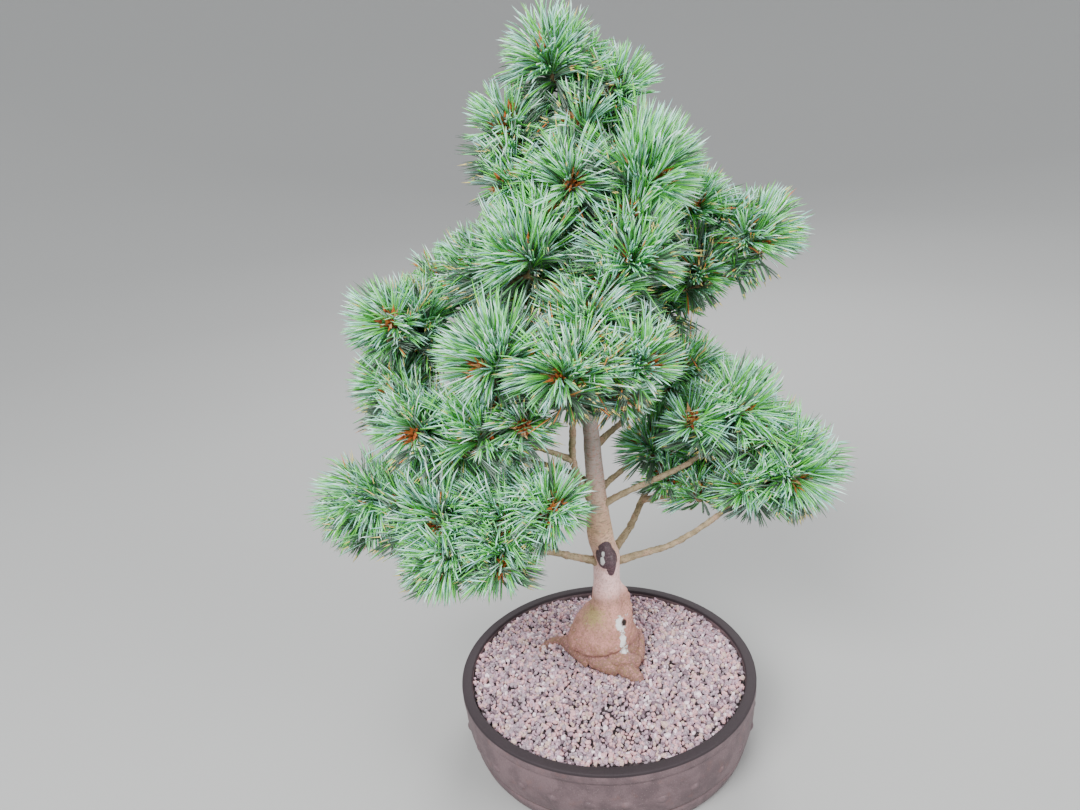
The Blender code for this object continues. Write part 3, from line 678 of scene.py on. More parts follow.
# Creases between the rooted lobes: bearing, height, half width in degrees, half height, depth, in mm
CREASES = (
    (-100, 99, 75, 2.8, 4.2), (-108, 90, 46, 6, 4.0), (-150, 95, 5, 12, 2.2), (-22, 147, 4.5, 13, 1.8),
    (-40, 93, 6, 12, 2.4), (60, 92, 8, 12, 1.8), (110, 96, 8, 14, 2.0), (10, 150, 34, 2.4, 1.4),
    (28, 128, 5, 22, 1.6),
)
# The graft's waist: height of its middle, half height and share of the radius
WAIST = (188, 30, 0.11)
PASTE_THICKNESS = 1.3
KNOT_DEPTH = 3.0


def trunk_reach(height, radius, degrees):
    """The trunk's reach at each height and bearing, with its waist, swellings and creases."""
    middle, tall, share = WAIST
    reach = radius * (1 - share * np.exp(-(((height - middle) / tall) ** 4))) + 0 * degrees
    for toward, stand, width, middle, tall in SWELLINGS:
        aside = (degrees - toward + 180) % 360 - 180
        reach = reach + stand * np.exp(-((aside / width) ** 2)[None] - ((height - middle) / tall) ** 2)
    for toward, middle, width, tall, depth in CREASES:
        aside = (degrees - toward + 180) % 360 - 180
        rise = (height - middle - 3.5 * np.sin(np.radians(aside) * 1.7)) / tall
        reach = reach - depth * np.exp(-((aside / width) ** 4)[None] - rise**2)
    return reach


def trunk_relief(points):
    """How far the bark stands out at each point: lumps, wrinkles, the paste and the knot."""
    low = np.clip((150 - points[:, 2]) / 40, 0, 1)
    push = (0.35 + 1.5 * low) * lumps(points, 13) + (0.15 + 1.0 * low) * lumps(points, 5, 9.0)
    push += (0.12 + 0.36 * low) * lumps(points, 1.9, 31.0)
    wrinkle = 1 - np.abs(lumps(points * (1, 1, 2.6), 7, 55.0))
    push -= 0.45 * np.clip(wrinkle - 0.86, 0, 1) / 0.14 * (0.3 + low)
    push *= 1 - 0.6 * np.clip((points[:, 2] - 330) / 200, 0, 1)
    for centre, radii in PASTE:
        away = np.linalg.norm((points - centre) / radii, axis=1)
        push += PASTE_THICKNESS * np.clip(1 - away**2, 0, 1) ** 0.5
    away = np.linalg.norm((points - KNOT[0]) / KNOT[1], axis=1)
    return push - KNOT_DEPTH * np.clip(1 - away**2, 0, 1)


def trunk_rings():
    stations = smooth(TRUNK, TRUNK_STEPS)
    bearings = math.tau * np.arange(TRUNK_SIDES) / TRUNK_SIDES
    x, y, height, radius = (stations[:, i : i + 1] for i in range(4))
    reach = trunk_reach(height, radius, np.degrees(bearings))
    outward = np.stack([np.cos(bearings), np.sin(bearings), 0 * bearings], -1)
    rings = np.stack([x + 0 * reach, y + 0 * reach, height + 0 * reach], -1) + reach[..., None] * outward
    push = trunk_relief(rings.reshape(-1, 3)).reshape(len(stations), -1, 1)
    return (rings + push * outward) * MM


trunk_skin = trunk_finish()
settle(make_piece("trunk_bark", *stacked(trunk_rings()), [trunk_skin]), "bark", "trunk")

# %% Bough meshes
BOUGH_SIDES = 14
BOUGH_STEPS = 16
BOUGH_GIRTH = 0.78
BARK_RELIEF = 1.3 * MM
WHORLS_APART = 36 * MM
FIRST_WHORL = 9 * MM


def limb_rings(route, radii, sides):
    """Rings of points round a route, turned as little as possible from one to the next."""
    along = np.gradient(route, axis=0)
    along /= np.linalg.norm(along, axis=1)[:, None]
    across = np.array(Vector(along[0]).orthogonal().normalized())
    turn = math.tau * np.arange(sides) / sides
    rings = []
    for centre, radius, ahead in zip(route, radii, along):
        across = across - across.dot(ahead) * ahead
        across /= np.linalg.norm(across)
        beside = np.cross(ahead, across)
        rings.append(centre + radius * (np.cos(turn)[:, None] * across + np.sin(turn)[:, None] * beside))
    return np.array(rings)


def limb_skin(route, radii, sides, relief):
    """The skin of a limb, with whorl rings, needle scars and small swellings in its bark."""
    length = np.concatenate([[0], np.cumsum(np.linalg.norm(np.diff(route, axis=0), axis=1))])
    half = WHORLS_APART / 2
    from_whorl = (length - FIRST_WHORL + half) % WHORLS_APART - half
    rings = limb_rings(route, radii * (1 + 0.13 * np.exp(-((from_whorl / (2.4 * MM)) ** 2))), sides)
    flat = rings.reshape(-1, 3)
    outward = flat - np.repeat(route, sides, axis=0)
    outward /= np.linalg.norm(outward, axis=1)[:, None] + 1e-9
    push = relief * (0.5 * lumps(flat, 4.5 * MM) + 0.42 * lumps(flat, 1.7 * MM, 7.0))
    return stacked((flat + push[:, None] * outward).reshape(rings.shape))


bough_skin = bough_finish()
for name in BOUGHS:
    route, radii = bough_line(name, BOUGH_STEPS)
    skin = limb_skin(route, BOUGH_GIRTH * radii, BOUGH_SIDES, BARK_RELIEF)
    settle(make_piece(name + "_bark", *skin, [bough_skin]), "bark", name)

# %% [markdown]
# ## Roots at the surface
# Beside the swollen base a few old roots lie half sunk in the gravel. The solid's base only bulges
# there, so the roots are limbs of their own, laid along its foot and through the stones.

# %% Surface roots
# x, y, height and radius along each root, in mm
ROOTS = (
    ((-40, 30, 86, 6), (-33, 14, 88, 7), (-24, 1, 88, 7.5), (-17, -6, 84, 7)),
    ((-18, -2, 90, 8), (-7, -11, 89, 9.5), (3, -17, 86, 9), (9, -21, 80, 6)),
    ((-4, -10, 92, 6), (10, -17, 93, 7), (22, -17, 93, 7), (32, -16, 88, 6)),
    ((12, -18, 86, 7), (19, -25, 85, 7.5), (27, -31, 82, 7), (31, -34, 77, 5)),
    ((38, 24, 98, 3.5), (37, 6, 91, 5), (33, -9, 84, 5)),
    ((-76, 24, 69, 6), (-62, 38, 73, 8), (-50, 42, 76, 8), (-36, 34, 81, 8)),
)


def joined(skins):
    """Points, quads and triangles of several skins as one."""
    points, quads, triangles = [], [], []
    start = 0
    for skin_points, skin_quads, skin_triangles in skins:
        points.append(skin_points)
        quads.append(np.asarray(skin_quads) + start)
        triangles.append(np.asarray(skin_triangles) + start)
        start += len(skin_points)
    return np.concatenate(points), np.concatenate(quads), np.concatenate(triangles)


lines = [smooth(root, 12) * MM for root in ROOTS]
roots = joined([limb_skin(line[:, :3], line[:, 3], 24, BARK_RELIEF) for line in lines])
settle(make_piece("surface_roots", *roots, [trunk_skin]), "bark")

# %% [markdown]
# ## Where the foliage grows
# A white pine carries its needles in rounds: short shoots that fan out at the end of a stem. Each
# mass has one stem, with a foot for each round, and three shoots fan from each foot. That is the
# rule of the solid model, so the stems take the same lines here, and each shoot leaves the same
# foot and keeps within its round's reach.

# %% Masses
# The bough that a mass grows from, or its height on the trunk, and the heart and reach of each of
# its rounds, in mm
MASSES = {
    "low_left": ("low_left_bough", (
        (-94, -52, 290, 52), (-148, -56, 296, 54), (-220, -20, 297, 59), (-48, -58, 297, 49),
        (-146, -86, 262, 44), (-100, -80, 258, 42))),
    "back_left": ("back_left_bough", ((-102, 92, 306, 52), (-148, 62, 314, 50))),
    "far_right": ("low_right_bough", ((146, -30, 288, 46), (184, -36, 302, 56))),
    "right": ("right_bough", ((136, -14, 356, 59), (92, -36, 359, 39))),
    "right_low": ("right_low_bough", ((118, 34, 290, 45), (103, 10, 268, 36))),
    "back_right": ("back_right_bough", ((104, 108, 322, 50), (144, 82, 336, 50))),
    "right_inner": ("right_inner_bough", ((64, 36, 311, 40), (76, 30, 277, 32))),
    "right_back": ("right_back_bough", ((100, 56, 376, 50),)),
    "back": ("back_bough", ((4, 136, 366, 54),)),
    "left": ("left_bough", (
        (-109, -50, 370, 51), (-160, -36, 376, 51), (-184, 8, 400, 45), (-67, -60, 380, 37))),
    "left_high": ("left_high_bough", ((-162, 22, 452, 54), (-137, 88, 484, 40))),
    "front_left": ("front_left_bough", ((-87, -70, 441, 53),)),
    "front": ("front_stem", ((-26, -88, 429, 51), (36, -66, 429, 47), (-6, -52, 466, 44), (20, -52, 397, 35))),
    "back_high": ("back_high_bough", ((-86, 100, 410, 56),)),
    "back_mid": ("back_mid_bough", ((34, 108, 438, 54), (86, 78, 454, 49))),
    "mid_right": ("mid_right_bough", ((108, 20, 486, 46), (160, 12, 512, 49), (108, 30, 540, 40))),
    "mid_front": (462, ((40, -42, 510, 51),)),
    "mid_left": (474, ((-50, -34, 520, 53), (-95, 12, 505, 44))),
    "mid_back": (488, ((-28, 88, 520, 53), (50, 78, 532, 49))),
    "upper_right": (534, ((54, -26, 579, 57),)),
    "upper_left": (546, ((-55, -4, 577, 39), (-58, 13, 623, 39))),
    "upper_front": (556, ((-12, -28, 577, 43),)),
    "upper_back": (566, ((-2, 64, 606, 48),)),
    "top_right": (598, ((40, 20, 642, 42),)),
    "apex": (640, ((-16, 10, 672, 48),)),
}
print(sum(len(hearts) for _, hearts in MASSES.values()), "rounds in", len(MASSES), "masses")

# %% Stems
STEM_TIP = 2.2 * MM
STEM_GIRTH = 2.8 * MM
NECK = 9 * MM
FOOT_DROP = 0.42


def trunk_at(height):
    """The trunk's axis point and radius at a height, in metres."""
    rows = np.array(TRUNK) * MM
    x, y, radius = (np.interp(height, rows[:, 2], rows[:, i]) for i in (0, 1, 3))
    return Vector((x, y, height)), float(radius)


def stem_start(source, heart):
    """Where a mass's stem starts, its first direction, its radius and the length of its neck."""
    if source in BOUGHS:
        route, radii = bough_line(source, 2)
        return Vector(route[-1]), Vector(route[-1] - route[-2]).normalized(), radii[-1] * 0.94, NECK
    if source >= TRUNK[-1][2]:
        return Vector(TRUNK[-1][:3]) * MM, UP, TRUNK[-1][3] * MM * 0.9, NECK
    centre, radius = trunk_at(source * MM)
    outward = Vector(heart[:3]) * MM - centre
    outward.z = 0
    return centre, outward.normalized(), min(STEM_GIRTH, radius * 0.6), radius + NECK


def stem_lines(name):
    """The lines of a mass's stem, from its limb to the foot of each round, and those feet."""
    source, hearts = MASSES[name]
    start, along, thick, neck = stem_start(source, hearts[0])
    knots = [start + neck * along]
    lines = []
    for order, heart in enumerate(hearts):
        foot = (Vector(heart[:3]) - FOOT_DROP * heart[3] * UP) * MM
        near = min(knots, key=lambda knot: (knot - foot).length)
        sag = near.lerp(foot, 0.5) - 0.06 * (foot - near).length * UP
        route = [near, sag, foot] if order else [start, near, sag, foot]
        first = thick * 0.8 if order else thick
        lines.append((route, np.linspace(first, STEM_TIP, len(route))))
        knots.append(foot)
    return lines, knots[1:]


# %% Which way a round faces
OUTWARD = 4.5
OUTWARD_MOST = 0.9
UPWARD = 0.85
# Rounds that face more outward than the rest, or hang: heart in mm, share outward and share up
HANGING = (
    ((-220, -20, 297), 1.0, 0.20), ((-146, -86, 262), 1.0, -0.15), ((-100, -80, 258), 0.9, 0.10),
    ((184, -36, 302), 1.0, 0.50), ((160, 12, 512), 1.0, 0.60),
)


def facing(heart):
    """The way that a round of shoots faces: up, and out from the trunk, more so further from it."""
    outward = heart - trunk_at(heart.z)[0]
    outward.z = 0
    lean, rise = min(OUTWARD * outward.length, OUTWARD_MOST), UPWARD
    for place, new_lean, new_rise in HANGING:
        if (heart - Vector(place) * MM).length < 1 * MM:
            lean, rise = new_lean, new_rise
    return (lean * outward.normalized() + rise * UP).normalized()


def dome(axis, count, widest, phase):
    """Directions spread evenly by the golden angle over a dome round an axis."""
    across = axis.orthogonal().normalized()
    for index in range(count):
        lean = math.acos(1 - (index + 0.5) / count * (1 - math.cos(widest)))
        yield Quaternion(axis, phase + index * GOLDEN) @ (Quaternion(across, lean) @ axis)


# %% [markdown]
# ## Finer rounds
# The solid stops at about fifty rounds. On the tree, shorter side shoots fill the dips between
# neighbours, so a tier reads as one cushion and not as a row of balls. So wherever two rounds nearly
# touch, a smaller one grows half way between them on its own thin stem. A few more stand alone on
# short twigs close to the trunk, where the tree shows no gap.

# %% Side rounds
NEARNESS = 0.90
NEARNESS_APART = 0.74
SIDE_REACH = 0.74
CLEAR_OF_OTHERS = 0.62
# Mass, heart, reach and root of each round that stands alone, in mm
LONE_ROUNDS = (
    ("top_right", (8, -14, 620), 34, (-3, 10, 600)), ("mid_back", (22, 26, 476), 34, (14, 14, 462)),
    ("left_high", (-180, -4, 464), 46, (-150, 12, 432)), ("back_high", (-42, 26, 470), 36, (4, 15, 448)),
    ("mid_back", (56, 34, 462), 36, (14, 14, 448)),
)


def main_rounds():
    """Owner, heart, reach and foot of each round of the solid."""
    for name, (_, hearts) in MASSES.items():
        for row, foot in zip(hearts, stem_lines(name)[1]):
            yield name, Vector(row[:3]) * MM, row[3] * MM, foot


def side_rounds(mains):
    """The same of the smaller rounds, and the root of the stem that carries each."""
    for order, (name, heart, reach, foot) in enumerate(mains):
        for neighbour, other, wide, _ in mains[order + 1 :]:
            nearness = NEARNESS if neighbour == name else NEARNESS_APART
            if (heart - other).length > nearness * (reach + wide):
                continue
            middle = heart.lerp(other, 0.5)
            small = SIDE_REACH * min(reach, wide)
            if all((middle - row[1]).length > CLEAR_OF_OTHERS * row[2] for row in mains):
                yield name, middle, small, middle - FOOT_DROP * small * UP, foot
    for name, heart, reach, root in LONE_ROUNDS:
        foot = Vector(heart) * MM - FOOT_DROP * reach * MM * UP
        yield name, Vector(heart) * MM, reach * MM, foot, Vector(root) * MM


mains = list(main_rounds())
sides = list(side_rounds(mains))
round_hearts = np.array([row[1] for row in mains + sides])
round_reaches = np.array([row[2] for row in mains + sides])
print(len(mains), "rounds and", len(sides), "side rounds")

# %% [markdown]
# ## Needles
# White pine needles grow in bundles of five, 5 to 6 cm long and about a millimetre wide. Each is
# three-sided: its outer side is green, and its two inner sides carry blue-white lines. A tuft looks
# striped because both kinds of side show at once. So each needle is a curved three-sided blade, with
# one finish for the outer side and another for the inner sides. Plain finishes are dealt out to
# the needles, because a pattern could not be seen on something this thin.

# %% Needle finishes
NEEDLE_TINTS = {
    "green": (84, 162, 70), "bright": (112, 212, 78), "deep": (72, 108, 76), "mint": (140, 228, 150),
    "frost": (178, 240, 220), "blue": (150, 204, 198), "pale": (224, 255, 246),
    "shade": (106, 124, 112), "straw": (216, 198, 114), "rust": (214, 122, 60),
}
GREEN, BRIGHT, DEEP, MINT, FROST, BLUE, PALE, SHADE, STRAW, RUST = range(len(NEEDLE_TINTS))
NEEDLE_SHINE = {"Roughness": 0.5, "Specular IOR Level": 0.4}
needle_finishes = [
    Finish("needle_" + name, {"Base Color": shade} | NEEDLE_SHINE) for name, shade in NEEDLE_TINTS.items()
]
print(len(needle_finishes), "needle finishes")

# %% Needle shape
NEEDLE_STATIONS = np.array([0.0, 0.44, 0.87, 1.0])
NEEDLE_WIDTHS = np.array([0.75, 1.0, 0.88])
NEEDLE_WIDTH = 1.35 * MM
CORNERS = np.radians((60, 180, 300))


def unit(rows):
    return rows / (np.linalg.norm(rows, axis=-1, keepdims=True) + 1e-12)


def needle_points(bases, heads, bends, backs, lengths):
    """Points of many needles: three rings of three corners each, and the tip."""
    t = NEEDLE_STATIONS[None, :, None]
    lines = bases[:, None] + lengths[:, None, None] * (t * heads[:, None] + t**2 * bends[:, None])
    along = unit(heads[:, None] + 2 * t * bends[:, None])[:, :-1]
    across = unit(backs[:, None] - np.sum(backs[:, None] * along, -1, keepdims=True) * along)
    beside = np.cross(along, across)
    radius = (NEEDLE_WIDTH / math.sqrt(3) * NEEDLE_WIDTHS)[None, :, None, None]
    ring = np.cos(CORNERS)[:, None] * across[:, :, None] + np.sin(CORNERS)[:, None] * beside[:, :, None]
    rings = lines[:, :-1, None] + radius * ring
    return np.concatenate([rings.reshape(len(bases), -1, 3), lines[:, -1:]], 1)


RINGS = len(NEEDLE_WIDTHS)
SIDE_QUADS = np.array([
    (3 * ring + side, 3 * ring + (side + 1) % 3, 3 * ring + 3 + (side + 1) % 3, 3 * ring + 3 + side)
    for ring in range(RINGS - 1) for side in range(3)
])
TIP_TRIANGLES = np.array([(3 * RINGS - 3 + side, 3 * RINGS - 3 + (side + 1) % 3, 3 * RINGS) for side in range(3)])
POINTS_EACH = 3 * RINGS + 1
print("a needle has", 2 * len(SIDE_QUADS) + len(TIP_TRIANGLES), "triangles")

# %% [markdown]
# ## Bundles on a shoot
# The bundles sit in a spiral. Each needle starts with its bundle, arches out, swings a little with
# its neighbours and sags under its own weight. A needle is as long as it takes to reach the edge of
# the crown, up to 6 cm, and one that hangs into the shade stays shorter.

# %% Bundles and needle lengths
NEEDLES_IN_BUNDLE = 5
SHORTEST = 0.45
LONGEST = 64 * MM
OWN_EDGE = 1.24
HANGING_FROM = 0.3
HANGING_LOSS = 0.55
BARK_OUT = 2.2 * MM


def reach_edge(bases, ends, edges, heart, reach):
    """How much of each needle's whole length keeps its end in the crown and near its own round."""
    shares = np.full(len(bases), SHORTEST)
    open_still = np.ones(len(bases), bool)
    for share in np.linspace(1, SHORTEST, 9):
        rows = np.flatnonzero(open_still)
        tips = bases[rows] + share * ends[rows]
        away = np.linalg.norm(tips[:, None] - round_hearts[None], axis=2) - round_reaches * edges[rows, None]
        own = np.linalg.norm(tips - heart, axis=1) < OWN_EDGE * reach * edges[rows]
        inside = own & (away.min(1) < 0)
        shares[rows[inside]] = share
        open_still[rows[inside]] = False
    return shares


def round_axis(axis):
    """Two directions square to an axis and to each other."""
    aside = unit(np.cross(axis, (0.3, 0.5, 0.81)))
    return aside, np.cross(axis, aside)


def bundles_on(path, shares, leans, rng):
    """Base, direction and two sides of bundles that spiral along a path."""
    count = len(shares)
    place = shares * (len(path) - 1)
    low = np.minimum(place.astype(int), len(path) - 2)
    part = (place - low)[:, None]
    centre = path[low] * (1 - part) + path[low + 1] * part
    axis = unit(path[low + 1] - path[low])
    aside, other = round_axis(axis)
    turn = np.arange(count) * GOLDEN + rng.normal(0, 0.12, count)
    outward = np.cos(turn)[:, None] * aside + np.sin(turn)[:, None] * other
    heads = unit(np.cos(leans)[:, None] * axis + np.sin(leans)[:, None] * outward + 0.08 * np.array(UP))
    return centre + BARK_OUT * outward, heads, outward, np.cross(axis, outward)


def grow_needles(start, leans, length, droop, heart, reach, rng):
    """Five curved needles from each bundle: bases, heads, bends, backs and lengths."""
    bases, heads, outward, beside = start
    count = len(bases)
    many = count * NEEDLES_IN_BUNDLE
    arch = 0.12 + rng.normal(0.66, 0.08, count) * np.sin(leans)
    swirl = (rng.normal(0, 0.24) + rng.normal(0, 0.12, count)) * np.sin(leans)
    swing = rng.normal(0, 0.08, (count, 3)) + rng.normal(0, 0.20, 3)
    swing += arch[:, None] * outward + swirl[:, None] * beside
    swing[:, 2] -= droop * rng.uniform(0.5, 1.4, count) * np.sin(leans)
    turns = rng.uniform(0, math.tau, count)
    bases, heads, swing, turns = (np.repeat(rows, NEEDLES_IN_BUNDLE, 0) for rows in (bases, heads, swing, turns))
    roll = turns + np.arange(many) % NEEDLES_IN_BUNDLE * math.tau / NEEDLES_IN_BUNDLE
    first = unit(np.cross(heads, (0.2, 0.9, 0.4)))
    backs = np.cos(roll)[:, None] * first + np.sin(roll)[:, None] * np.cross(heads, first)
    heads = unit(heads + rng.uniform(0.03, 0.12, many)[:, None] * backs)
    bends = swing + 0.04 * backs + rng.normal(0, 0.03, (many, 3))
    hanging = np.clip(-(heads + bends)[:, 2] - HANGING_FROM, 0, 1)
    lengths = length * rng.uniform(0.86, 1.0, many) * (1 - HANGING_LOSS * hanging)
    ends = lengths[:, None] * (heads + bends)
    lengths *= reach_edge(bases, ends, rng.uniform(0.87, 1.01, many), heart, reach)
    return bases, heads, bends, backs, lengths


# %% Dealing out the finishes
def needle_tints(age, old, rng, dried):
    """The finish of each needle's outer side, inner sides and tip."""
    many = len(age)
    lush, cool = rng.uniform(0, 1, 2)
    outer_shares = np.array((0.5, 0.28 + 0.34 * lush, 0.18 - 0.14 * lush))
    inner_shares = np.array((0.24 + 0.26 * lush, 0.34, 0.12 + 0.14 * cool, 0.26 - 0.12 * lush, 0.06))
    outer = rng.choice((GREEN, BRIGHT, DEEP), many, p=outer_shares / outer_shares.sum())
    inner = rng.choice((MINT, FROST, BLUE, PALE, SHADE), many, p=inner_shares / inner_shares.sum())
    dull = rng.random(many) < np.maximum(0.5 * np.clip(age - 0.7, 0, 1) / 0.3, 0.85 * old)
    outer = np.where(dull, DEEP, outer)
    outer = np.where(dull & (rng.random(many) < 0.5 * old), SHADE, outer)
    inner = np.where(dull & (rng.random(many) < 0.6 + 0.3 * old), SHADE, inner)
    yellow = rng.random(many) < np.where(age > 0.8, 0.03 + 0.16 * old + dried, 0.004 + dried * 0.3)
    tip = np.where(yellow, STRAW, inner)
    dead = rng.random(many) < np.where(age > 0.8, 0.003 + 0.01 * old + dried * 0.25, 0.001)
    return np.where(dead, RUST, outer), np.where(dead, STRAW, inner), np.where(dead, RUST, tip)


# %% [markdown]
# ## Shoots
# A tuft is a brush, not a ball. Its shoots leave a point low in the round and end in a bud. The
# youngest bundles stand nearly along the shoot, and the older ones lean out square to it. Behind
# them last year's needles hang duller along the stem, some with yellow or rusty tips.

# %% Needles of a shoot
BUNDLES = 42
OLD_BUNDLES = 36
FULL_REACH = 50 * MM
FIRST_BUNDLE = 0.34
WIDEST = math.radians(94)
NARROWEST = math.radians(20)
OLD_LEAN = (74, 16)
OLD_DROOP = 0.26


def shoot_needles(path, heart, reach, rng, dried):
    """A shoot's fresh needles, with the finishes of their sides and tip."""
    count = int(BUNDLES * min(1.25, (reach / FULL_REACH) ** 2))
    age = np.sort((np.arange(count) + rng.random(count)) / count)
    leans = 0.60 * np.arccos(1 - age * (1 - math.cos(WIDEST))) + rng.normal(0, 0.07, count)
    leans = np.maximum(leans, NARROWEST)
    start = bundles_on(path, 1 - (1 - FIRST_BUNDLE) * age**0.8, leans, rng)
    length = LONGEST * min(1.0, reach / FULL_REACH) ** 0.7
    droop = 0.12 + 0.55 * (1 - facing(heart).z)
    made = grow_needles(start, leans, length, droop, heart, reach, rng)
    return *made, *needle_tints(np.repeat(age, NEEDLES_IN_BUNDLE), 0.0, rng, dried)


def old_needles(path, heart, reach, rng, dried):
    """Last year's needles along a stem: nearly square to it, dull and often yellow at the tip."""
    count = int(OLD_BUNDLES * reach / FULL_REACH)
    shares = np.sort(rng.random(count))
    leans = np.radians(rng.normal(*OLD_LEAN, count))
    start = bundles_on(path, shares, leans, rng)
    made = grow_needles(start, leans, 0.9 * LONGEST, OLD_DROOP, heart, 1.02 * reach, rng)
    return *made, *needle_tints(np.ones(count * NEEDLES_IN_BUNDLE), 1.0, rng, dried)


# %% Shoots of a mass
TWIGS = 3
SIDE_TWIGS = 2
TWIG_SPREAD = math.radians(58)
BUD_BACK = 0.32
BUD_OUT = 0.26
TWIG_TIP = 0.24


def shoot_paths(heart, reach, foot, count, rng):
    """The shoots of one round: each leaves its foot and turns toward its own bud."""
    front = facing(heart)
    for toward in dome(front, count, TWIG_SPREAD, rng.uniform(0, math.tau)):
        tip = heart - BUD_BACK * reach * front + BUD_OUT * reach * toward
        yield smooth([foot, tip - TWIG_TIP * reach * toward, tip], 6)


def shoots_of(name, rng):
    """A mass's shoots, and the stems of its side rounds, each with its round's heart and reach."""
    shoots, spans = [], []
    for owner, heart, reach, foot in mains:
        if owner == name:
            shoots += [(path, heart, reach) for path in shoot_paths(heart, reach, foot, TWIGS, rng)]
    for owner, heart, reach, foot, root in sides:
        if owner == name:
            shoots += [(path, heart, reach) for path in shoot_paths(heart, reach, foot, SIDE_TWIGS, rng)]
            sag = root.lerp(foot, 0.5) - 0.10 * (foot - root).length * UP
            spans.append((smooth([root, sag, foot], 6), heart, reach))
    return shoots, spans


# %% Needles of every mass
# How much of a mass's needles has dried at the tip
DRIED = {"front": 0.14, "mid_right": 0.12, "left": 0.06}
# Lengths of trunk that old needles clothe, each with its middle and reach, in mm
BARE_SPANS = {
    "apex": (((4, 14, 590), (-8, 14, 638), (-12, 12, 655)), (-6, 10, 630), 42),
    "upper_back": (((10, 14, 530), (6, 14, 570), (2, 14, 600)), (6, 10, 565), 46),
    "mid_back": (((14, 14, 460), (14, 14, 490), (12, 14, 515)), (14, 10, 490), 50),
}


def clothed(name, spans):
    """Every length of stem and trunk that old needles clothe, with its round's heart and reach."""
    yield from spans
    if name in BARE_SPANS:
        line, heart, reach = BARE_SPANS[name]
        yield smooth(line, 6) * MM, Vector(heart) * MM, reach * MM
    for (route, _), row in zip(stem_lines(name)[0], MASSES[name][1]):
        line = smooth(route, 6)
        yield line[len(line) // 2 :], Vector(row[:3]) * MM, row[3] * MM


def make_needles(name, shoots, spans, rng):
    dried = DRIED.get(name, 0.0)
    parts = [shoot_needles(*shoot, rng, dried) for shoot in shoots]
    parts += [old_needles(*span, rng, dried) for span in clothed(name, spans)]
    *shape, outer, inner, tip = (np.concatenate(rows) for rows in zip(*parts))
    points = needle_points(*shape)
    first = (POINTS_EACH * np.arange(len(points)))[:, None, None]
    faces = np.stack([inner, inner, outer], 1)
    side_tints = np.tile(faces, (1, RINGS - 1)).reshape(-1)
    tip_tints = np.where(tip[:, None] == inner[:, None], faces, tip[:, None]).reshape(-1)
    tints = np.concatenate([side_tints, tip_tints])
    return make_piece(
        name + "_needles", points.reshape(-1, 3), SIDE_QUADS[None] + first, TIP_TRIANGLES[None] + first,
        needle_finishes, tints,
    )


grown = {}
for order, name in enumerate(MASSES):
    rng = np.random.default_rng(order + 11)
    grown[name] = shoots_of(name, rng)
    settle(make_needles(name, *grown[name], rng), "needles", name + "_foliage")
print(sum(len(shoots) for shoots, _ in grown.values()), "shoots")

# %% [markdown]
# ## Stems, twigs and buds
# Between the tufts a few brown stems show, and papery orange-brown scales stand round each bud. The
# stems and twigs of all masses are joined in one piece, and the scales in another, since each kind
# has its own finish.

# %% Stems and twigs
TWIG_RELIEF = 0.6 * MM
SPAN_TAPER = (2.0 * MM, 1.6 * MM)
SHOOT_TAPER = (2.1 * MM, 1.6 * MM)


def twig_finish():
    finish = Finish("twig_skin", {"Specular IOR Level": 0.3})
    blotch = finish.cloud(6 * MM, 3, 0.6)
    scars = finish.cells(1.8 * MM)
    brown = finish.mix(finish.step(blotch, 0.35, 0.68), (146, 120, 92), (104, 84, 62))
    finish.put({"Base Color": finish.coat(brown, scars, 0.4, 0.1, 0.5, (74, 54, 40))})
    finish.put({"Roughness": 0.8 + 0.1 * blotch})
    finish.relief(scars, 0.5 * MM)
    return finish


def twig_skins():
    for name, (shoots, spans) in grown.items():
        for route, radii in stem_lines(name)[0]:
            line = smooth(route, 8)
            wide = np.interp(np.linspace(0, 1, len(line)), np.linspace(0, 1, len(radii)), radii)
            yield limb_skin(line, wide, 8, TWIG_RELIEF)
        for rows, taper in ((spans, SPAN_TAPER), (shoots, SHOOT_TAPER)):
            for path, _, _ in rows:
                yield limb_skin(path, np.linspace(*taper, len(path)), 6, TWIG_RELIEF)


settle(make_piece("twigs", *joined(twig_skins()), [twig_finish()]), "bark")

# %% Bud scales
BUDS = 4
BUD_LEAN = 0.60
SCALES = 11
SCALE_FACES = np.array([(0, 1, 2), (0, 2, 3), (2, 1, 3), (0, 4, 1), (0, 3, 4), (4, 3, 1)])
SCALE_TINTS = {"orange": (216, 116, 60), "brown": (160, 84, 50), "tan": (222, 166, 118)}
SCALE_SHARES = (0.55, 0.25, 0.20)


def scale_finish(name, shade):
    finish = Finish("scale_" + name, {"Roughness": 0.7, "Specular IOR Level": 0.3})
    grain = finish.cloud(0.8 * MM, 2, 0.6)
    deep = [v * 0.72 for v in shade]
    finish.put({"Base Color": finish.mix(finish.step(grain, 0.3, 0.7), deep, shade)})
    return finish


def turned(axis, turn):
    """The direction at a turn round an axis."""
    aside, other = round_axis(axis)
    return math.cos(turn) * aside + math.sin(turn) * other


def scale_points(tip, stand, grand, order, rng):
    """Five corners of one scale of a bud: two at its root, its back, its tip and its inner side."""
    share = order / SCALES
    outward = turned(stand, order * GOLDEN)
    beside = np.cross(stand, outward)
    root = tip + stand * (19 * share - 3) * grand + outward * (3.0 - 1.6 * share) * MM
    lean = math.radians(rng.uniform(22, 62) * (1 - 0.5 * share))
    blade = rng.uniform(7.0, 12.0) * grand * (math.cos(lean) * stand + math.sin(lean) * outward)
    half = rng.uniform(1.3, 2.2) * MM
    back, inside = 0.5 * blade + 0.5 * half * outward, -0.4 * half * outward
    return [root + step for step in (-half * beside, half * beside, back, blade, inside)]


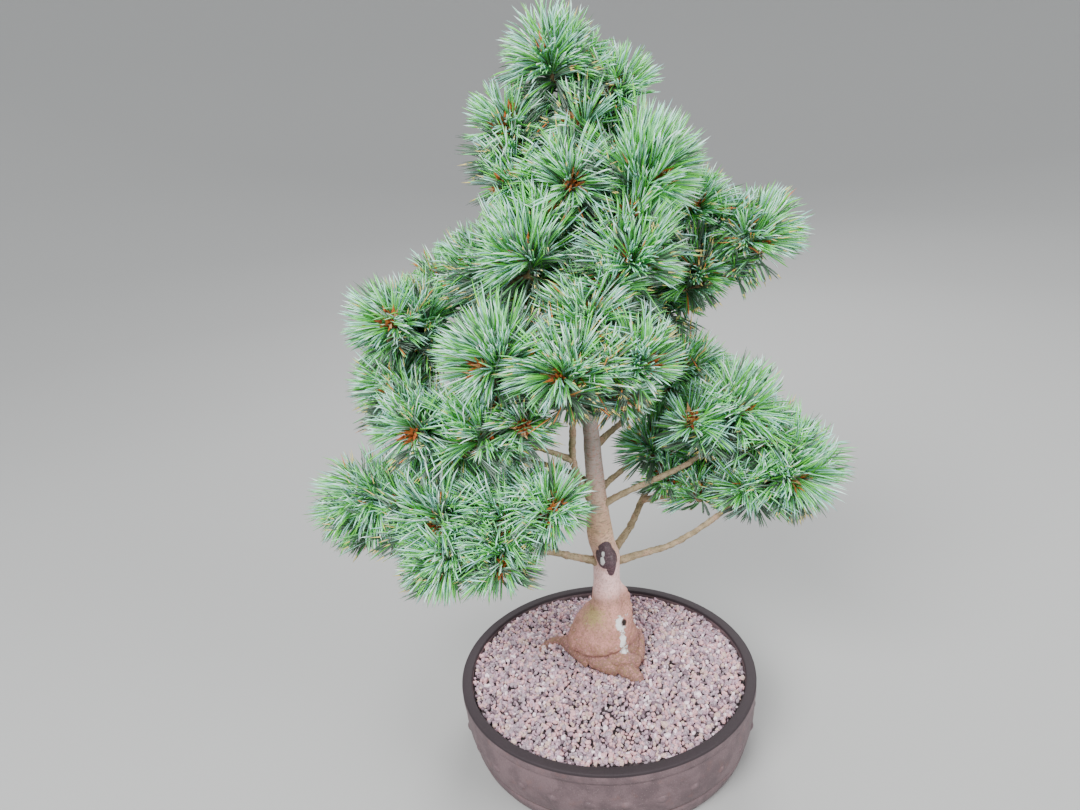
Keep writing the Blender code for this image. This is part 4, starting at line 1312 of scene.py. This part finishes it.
def make_scales():
    rng = np.random.default_rng(77)
    points, tints = [], []
    for path, _, reach in (shoot for shoots, _ in grown.values() for shoot in shoots):
        axis = unit(path[-1] - path[-2])
        grand = min(1.0, reach / (48 * MM)) * MM
        for number in range(BUDS * SCALES):
            order, bud = divmod(number, BUDS)
            turn = math.tau * bud / BUDS + 900 * reach
            stand = unit(axis + BUD_LEAN * turned(axis, turn))
            points += scale_points(path[-1], stand, grand, order, rng)
            tints += [rng.choice(len(SCALE_TINTS), p=SCALE_SHARES)] * len(SCALE_FACES)
    triangles = SCALE_FACES[None] + 5 * np.arange(len(points) // 5)[:, None, None]
    finishes = [scale_finish(*row) for row in SCALE_TINTS.items()]
    return make_piece("bud_scales", points, (), triangles, finishes, tints, smooth=False)


settle(make_scales(), "needles")

# %% [markdown]
# ## Floor and light
# The plant stands on a plain pale floor that curves up far behind it, so that no horizon line crosses
# the picture. Large soft panels light it as in a photographer's tent: one above and in front to the
# left, a weaker one on the right, and one behind for the edges.

# %% Stage
FLOOR_PROFILE = (
    (5.3, 3.0), (5.0, 2.0), (4.4, 1.1), (3.7, 0.5), (3.0, 0.18), (2.3, 0.04), (1.6, 0.0), (0.6, 0.0),
)
FLOOR_SIDES = 96
FLOOR_SHADE = (161.7, 161.7, 160.7)
MIDDLE = Vector((0, 0, 0.35))
# Place, width and power of each panel
PANELS = {
    "key_panel": ((-1.2, -1.7, 2.1), 1.6, 128), "fill_panel": ((1.8, -1.2, 1.2), 1.6, 52),
    "back_panel": ((0.5, 1.8, 1.9), 1.4, 44),
}
SKY = {"Color": (0.82, 0.85, 0.88, 1), "Strength": 1.08}


def make_floor():
    finish = Finish("floor", {"Base Color": FLOOR_SHADE, "Roughness": 0.8})
    turn = math.tau * np.arange(FLOOR_SIDES) / FLOOR_SIDES
    rings = [np.column_stack([r * np.cos(turn), r * np.sin(turn), 0 * turn + z]) for r, z in FLOOR_PROFILE]
    points, quads, caps = stacked(np.array(rings))
    make_piece("floor", points, quads, caps[FLOOR_SIDES - 2 :], [finish])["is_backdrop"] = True


def add_panel(name, place, size, power):
    panel = bpy.data.lights.new(name, "AREA")
    panel.shape = "DISK"
    panel.size = size
    panel.energy = power
    lamp = bpy.data.objects.new(name, panel)
    lamp.location = place
    lamp.rotation_euler = (MIDDLE - Vector(place)).to_track_quat("-Z", "Y").to_euler()
    bpy.context.scene.collection.objects.link(lamp)


def add_sky():
    world = bpy.data.worlds.new("studio")
    world.use_nodes = True
    for key, value in SKY.items():
        world.node_tree.nodes["Background"].inputs[key].default_value = value
    bpy.context.scene.world = world


make_floor()
for name, row in PANELS.items():
    add_panel(name, *row)
add_sky()
print(len(PANELS), "panels")

# %% The sizes of the solid and of what is shown
shown_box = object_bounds()
for label, (low, high) in (("solid", solid_box), ("shown", shown_box)):
    print(label, "box in mm:", [round(v * 1000) for v in (*low, *high)])
